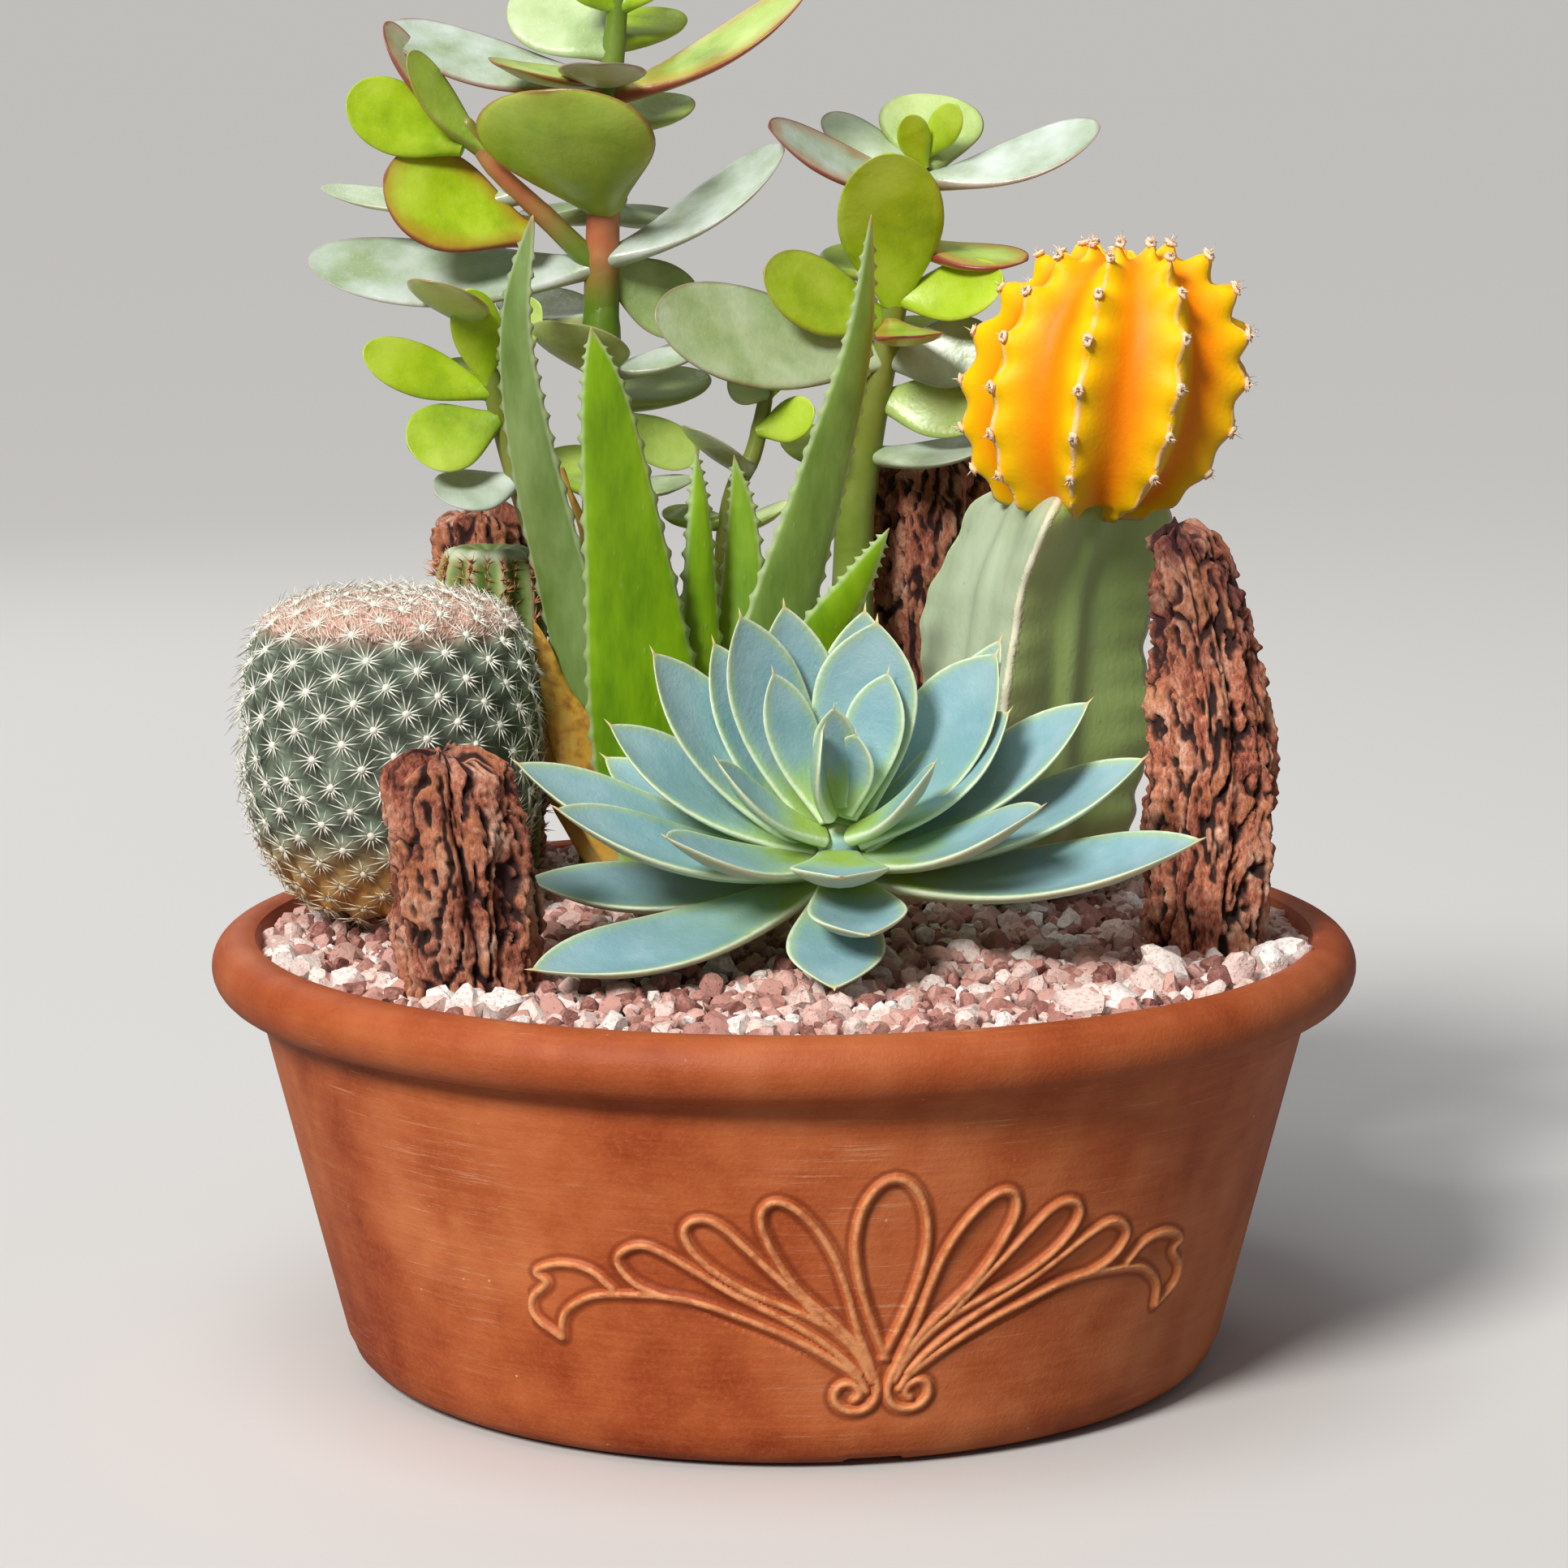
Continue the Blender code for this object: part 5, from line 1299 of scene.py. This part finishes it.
JADE_LEAVES = {  # where each springs, its tip, its width, its face, how grey and how red-edged it is
    "jade_left": (
        ((-35, 28, 221), (-46, 3, 243), 36, (0.15, 0.6, 1), 0.15, 0.75),
        ((-50, 26, 215), (-77, 19, 227), 21, (0.3, -1, 0.5), 0, 1),
        ((-36, 30, 209), (-93, 28, 210), 20, (0, -0.8, 1), 1, 0.3),
        ((-35, 29, 210), (0, 30, 232), 18, (-0.4, -0.5, 1), 0.95, 0.2),
        ((-35, 30, 220), (-47, 56, 220), 20, TOP, 0.5, 0.1),
        ((-35, 30, 220), (-22, 58, 219), 20, TOP, 0.6, 0.1),
        ((-33, 28, 242), (5, 24, 263), 17, (-0.4, -0.5, 1), 0.3, 0.9),
        ((-34, 28, 244), (-77, 30, 255), 17, (0.2, -0.7, 1), 1, 0.7),
        ((-34, 28, 246), (-55, 10, 248), 17, TOP, 0.3, 0.8),
        ((-34, 28, 246), (-35, 1, 248), 17, TOP, 1, 0.6),
        ((-33, 28, 250), (-52, 40, 263), 18, TOWARD, 0.55, 0.1),
        ((-33, 28, 252), (-24, 52, 259), 16, TOP, 0.1, 0.1),
        ((-62, 24, 232), (-84, 20, 242), 15, TOWARD, 0.05, 0),
        ((-58, 25, 231), (-72, 17, 250), 11, (0.6, -0.6, 0.5), 0.2, 0.4),
        ((-60, 25, 234), (-77, 26, 256), 11, (0.7, -0.5, 0.6), 0.7, 0.9),
        ((-50, 27, 223), (-91, 36, 224), 12, TOP, 0.7, 0.2),
        ((-32, 28, 258), (-19, 22, 272), 9, TOWARD, 0, 0),
        ((-32, 28, 258), (-43, 22, 269), 9, TOWARD, 0, 0),
        ((-31, 28, 263), (-18, 32, 279), 8, TOWARD, 0, 0),
        ((-31, 28, 265), (-37, 34, 280), 8, TOWARD, 0, 0),
        ((-31, 28, 266), (-28, 23, 285), 7, TOWARD, 0, 0),
        ((-36, 30, 210), (-17, 38, 198), 15, TOWARD, 0.5, 0.3),
        ((-36, 30, 189), (-42, 9, 199), 20, TOP, 0.4, 0.3),
        ((-36, 30, 188), (-13, 34, 195), 11, TOP, 0.8, 0.2),
        ((-36, 31, 180), (-17, 31, 171), 10, TOWARD, 0.3, 0.1),
        ((-36, 31, 166), (-18, 27, 167), 10, TOP, 0.6, 0.1),
        ((-36, 31, 198), (-54, 58, 203), 19, TOP, 0.5, 0.3),
        ((-36, 31, 182), (-18, 57, 187), 18, TOP, 0.4, 0.2),
        ((-36, 31, 164), (-44, 50, 172), 15, TOP, 0.2, 0),
        ((-36, 30, 236), (-21, 55, 242), 16, TOP, 0.3, 0.2),
        ((-60, 28, 199), (-68, 8, 207), 16, TOP, 0.4, 0.6),
        ((-58, 28, 186), (-61, 18, 205), 10, TOWARD, 0, 0),
        ((-57, 28, 184), (-82, 23, 193), 11, TOWARD, 0, 0),
        ((-56, 28, 179), (-73, 19, 174), 15, TOWARD, 0.15, 0),
        ((-52, 30, 167), (-68, 20, 165), 13, (0, -0.8, 1), 0.9, 0.1),
        ((-58, 28, 191), (-47, 17, 202), 10, TOWARD, 0.3, 0),
        ((-57, 28, 184), (-66, 44, 190), 12, TOP, 0, 0),
        ((-60, 28, 200), (-57, 40, 212), 10, TOWARD, 0.5, 0.2),
    ),
    "jade_right": (
        ((22, 40, 201), (20, 21, 231), 21, TOWARD, 0.05, 0.15),
        ((28, 41, 227), (30, 53, 242), 21, TOWARD, 0.4, 0.1),
        ((27.7, 40, 228), (24, 34, 238), 7, TOWARD, 0, 0),
        ((28, 41, 230), (34, 35, 240), 7, TOWARD, 0.1, 0),
        ((28, 40, 225), (62, 36, 236), 15, (-0.3, -0.7, 1), 0.9, 0.5),
        ((27, 40, 224), (-3, 25, 236), 15, (0.3, -0.7, 1), 0.85, 0.9),
        ((27, 40, 227), (8, 48, 238), 12, (0.3, -0.6, 0.7), 0.7, 0.6),
        ((21, 41, 197), (-4, 27, 208), 16, TOWARD, 0.1, 0.4),
        ((25, 40, 213), (48, 34, 210), 15, TOP, 0.3, 1),
        ((22, 40, 202), (43, 28, 206), 13, TOWARD, 0.05, 0.2),
        ((21, 40, 197), (26, 15, 196), 14, TOP, 0.2, 1),
        ((20, 41, 190), (42, 35, 193), 15, TOWARD, 0.8, 0.2),
        ((18, 42, 182), (41, 33, 181), 14, TOWARD, 0.35, 0.1),
        ((16, 42, 171), (42, 35, 174), 15, TOP, 0.8, 0.1),
        ((20, 41, 190), (-25, 16, 200), 21, TOWARD, 0.6, 0.5),
        ((22, 40, 206), (13, 64, 212), 18, TOP, 0.2, 0.3),
        ((20, 41, 190), (30, 66, 197), 18, TOP, 0.2, 0.7),
        ((15, 42, 168), (3, 62, 175), 16, TOP, 0.2, 0),
    ),
    "jade_low": (
        ((-7, 35, 169), (-18, 20, 178), 13, TOP, 0.7, 0.3),
        ((-5, 34, 176), (6, 27, 181), 9, TOWARD, 0.1, 0),
        ((-3, 34, 183), (-11, 32, 187), 8, TOWARD, 0.6, 0.3),
        ((-11, 36, 158), (-24, 42, 160), 10, TOP, 0.2, 0),
        ((-11, 36, 157), (1, 32, 162), 9, TOP, 0.3, 0),
        ((-3, 34, 184), (-2, 44, 190), 9, TOP, 0.1, 0),
    ),
}


def jade_leaf(root, tip, width, face, tone, blush):
    """A round, plump leaf, the broader the thicker."""
    return blade(arched(root, tip, face, JADE_ARCH), face, width, JADE_THICKNESS + width * JADE_PLUMPNESS,
                 JADE_SHAPE, cup=JADE_CUP, tone=tone, blush=blush)


def make_jade(name, finish):
    """A jade plant: its stems and its leaves in opposite pairs."""
    leaves = [jade_leaf(*row) for row in JADE_LEAVES[name]]
    leaves += [stem(points, radii, tone=-1, blush=blush) for points, radii, blush in JADE_STEMS[name]]
    piece(name + "_leaves", grown(leaves, 22, 30), finish, name)


def jade_skin():
    skin = Finish("jade_skin", {"Subsurface Weight": 0.08})
    edge, along, tone, blush, upper = skin.wears("edge", "along", "tone", "blush", "upper")
    cloud = skin.grain(11, detail=4, roughness=0.55)
    speckle = skin.band(skin.cells(0.9), 0.1, 0.3, 1, 0)
    green = skin.ramp(cloud + along * 0.2 - 0.1, (0.3, (0.23, 0.39, 0.005)), (0.5, (0.39, 0.56, 0.012)),
                      (0.75, (0.53, 0.68, 0.06)))
    grey = skin.ramp(cloud, (0.3, (0.32, 0.42, 0.24)), (0.5, (0.48, 0.57, 0.46)), (0.72, (0.68, 0.74, 0.7)))
    skin.coat(skin.blend(skin.band(tone, 0, 1), green, grey))
    skin.tint(speckle * skin.band(tone, 0, 0.9, 0.08, 0.35), (0.66, 0.7, 0.62))
    skin.tint(skin.band(upper, -0.8, 0, 0.25, 0), (0.3, 0.4, 0.12))
    leafy = skin.band(tone, -0.9, -0.1)
    rim = skin.band(edge + (cloud - 0.5), 0.1, 1.1, 1, 0)
    flush = skin.band(edge + (cloud - 0.5) * 6, 0.5, 5.5, 0.6, 0)
    skin.tint(skin.band(blush, 0.65, 1) * flush * leafy, (0.5, 0.14, 0.03))
    skin.tint(blush * rim * leafy * 0.95, (0.26, 0.03, 0.035))
    wood = skin.ramp(cloud, (0.3, (0.11, 0.2, 0.01)), (0.7, (0.2, 0.27, 0.05)))
    red = skin.ramp(cloud, (0.3, (0.5, 0.11, 0.045)), (0.7, (0.6, 0.24, 0.11)))
    reddened = blush * skin.band(along, 0.1, 0.5) * skin.band(along, 0.6, 1, 1, 0.2)
    skin.tint(skin.band(tone, -0.9, -0.1, 1, 0), skin.blend(reddened, wood, red))
    skin.wire("Roughness", 0.22 + cloud * 0.18)
    skin.relief(cloud + skin.grain(1.2) * 0.3, 0.25)
    return skin


# Floor, light and camera, in metres

FLOOR_RADIUS = 60.0
FLOOR_COLOUR = (0.7, 0.695, 0.685)
FLOOR_LIT_COLOUR = (0.32, 0.31, 0.3)
SKY_COLOUR = (0.528, 0.516, 0.494)
SKY_LIT_COLOUR = (0.93, 0.95, 0.97)
SKY_POWER = 0.16
SUN_DIRECTION = (-0.46, -0.78, 0.66)
SUN_POWER = 3.4
SUN_SPREAD = radians(16)
SUN_COLOUR = (1, 0.97, 0.93)
SOFT_LIGHTS = (("top", (-0.2, -0.3, 1.2), 0.6, 4), ("back", (-0.5, 1.1, 0.8), 0.7, 2))
LIT_MIDDLE = Vector((0, 0, 0.12))
CAMERA_PLACE = (0.0, -0.850, 0.2456)
CAMERA_PITCH = radians(81)
CAMERA_LENS = 102.6


def make_floor():
    """The floor: pale to the camera, and dimmer for the light that it throws back."""
    bm = bmesh.new()
    bmesh.ops.create_circle(bm, cap_ends=True, segments=96, radius=FLOOR_RADIUS)
    paint = Finish("pale_floor", {"Base Color": FLOOR_COLOUR, "Roughness": 0.9})
    dim = paint.node("BsdfDiffuse", None, {"Color": FLOOR_LIT_COLOUR})
    paint.show("Material Output", Value(paint, paint.shader.outputs[0]), dim)
    floor = surfaced("floor", bm, paint)


def make_sky():
    """The background: pale to the camera, and dimmer as a light."""
    world = bpy.data.worlds.new("studio")
    world.use_nodes = True
    sky = Nodes(world.node_tree)
    seen = sky.node("Background", None, {"Color": SKY_COLOUR})
    lit = sky.node("Background", None, {"Color": SKY_LIT_COLOUR, "Strength": SKY_POWER})
    sky.show("World Output", seen, lit)
    bpy.context.scene.world = world


def lamp(name, kind, power, direction):
    """A light that comes from a direction."""
    made = placed(name, bpy.data.lights.new(name, kind))
    made.data.energy = power
    made.rotation_euler = aimed(direction).to_euler()
    return made


def make_light():
    key = lamp("key", "SUN", SUN_POWER, SUN_DIRECTION)
    key.data.angle = SUN_SPREAD
    key.data.color = SUN_COLOUR
    for name, place, size, power in SOFT_LIGHTS:
        soft = lamp(name, "AREA", power, Vector(place) - LIT_MIDDLE)
        soft.data.size = size
        soft.location = place


def make_camera():
    camera = placed("camera", bpy.data.cameras.new("camera"))
    camera.data.lens = CAMERA_LENS
    camera.data.sensor_width = 36
    camera.location = CAMERA_PLACE
    camera.rotation_euler = (CAMERA_PITCH, 0, 0)
    bpy.context.scene.camera = camera
    bpy.context.scene.view_settings.view_transform = "Standard"


def build():
    make_camera()
    make_light()
    make_sky()
    make_floor()
    make_bowl(terracotta())
    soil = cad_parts["potting_soil"].data.materials
    soil.clear()
    soil.append(loam().material)
    make_gravel(granite())
    make_echeveria(echeveria_skin())
    make_stock(rootstock_skin())
    make_head(scion_skin(), areole_wool())
    white = spine_finish("white_spines", (0.84, 0.85, 0.76), (0.8, 0.52, 0.44), (0.62, 0.46, 0.22))
    make_globe(globe_skin(), white)
    rust = spine_finish("rust_spines", (0.75, 0.3, 0.12), (0.5, 0.14, 0.05), (0.5, 0.2, 0.1))
    make_rear_cactus(ribbed_skin(), rust)
    bark_finish = old_wood()
    for name in WOOD_SHAPES:
        make_wood(name, bark_finish)
    make_aloe(aloe_skin())
    jade = jade_skin()
    for name in JADE_LEAVES:
        make_jade(name, jade)


build()
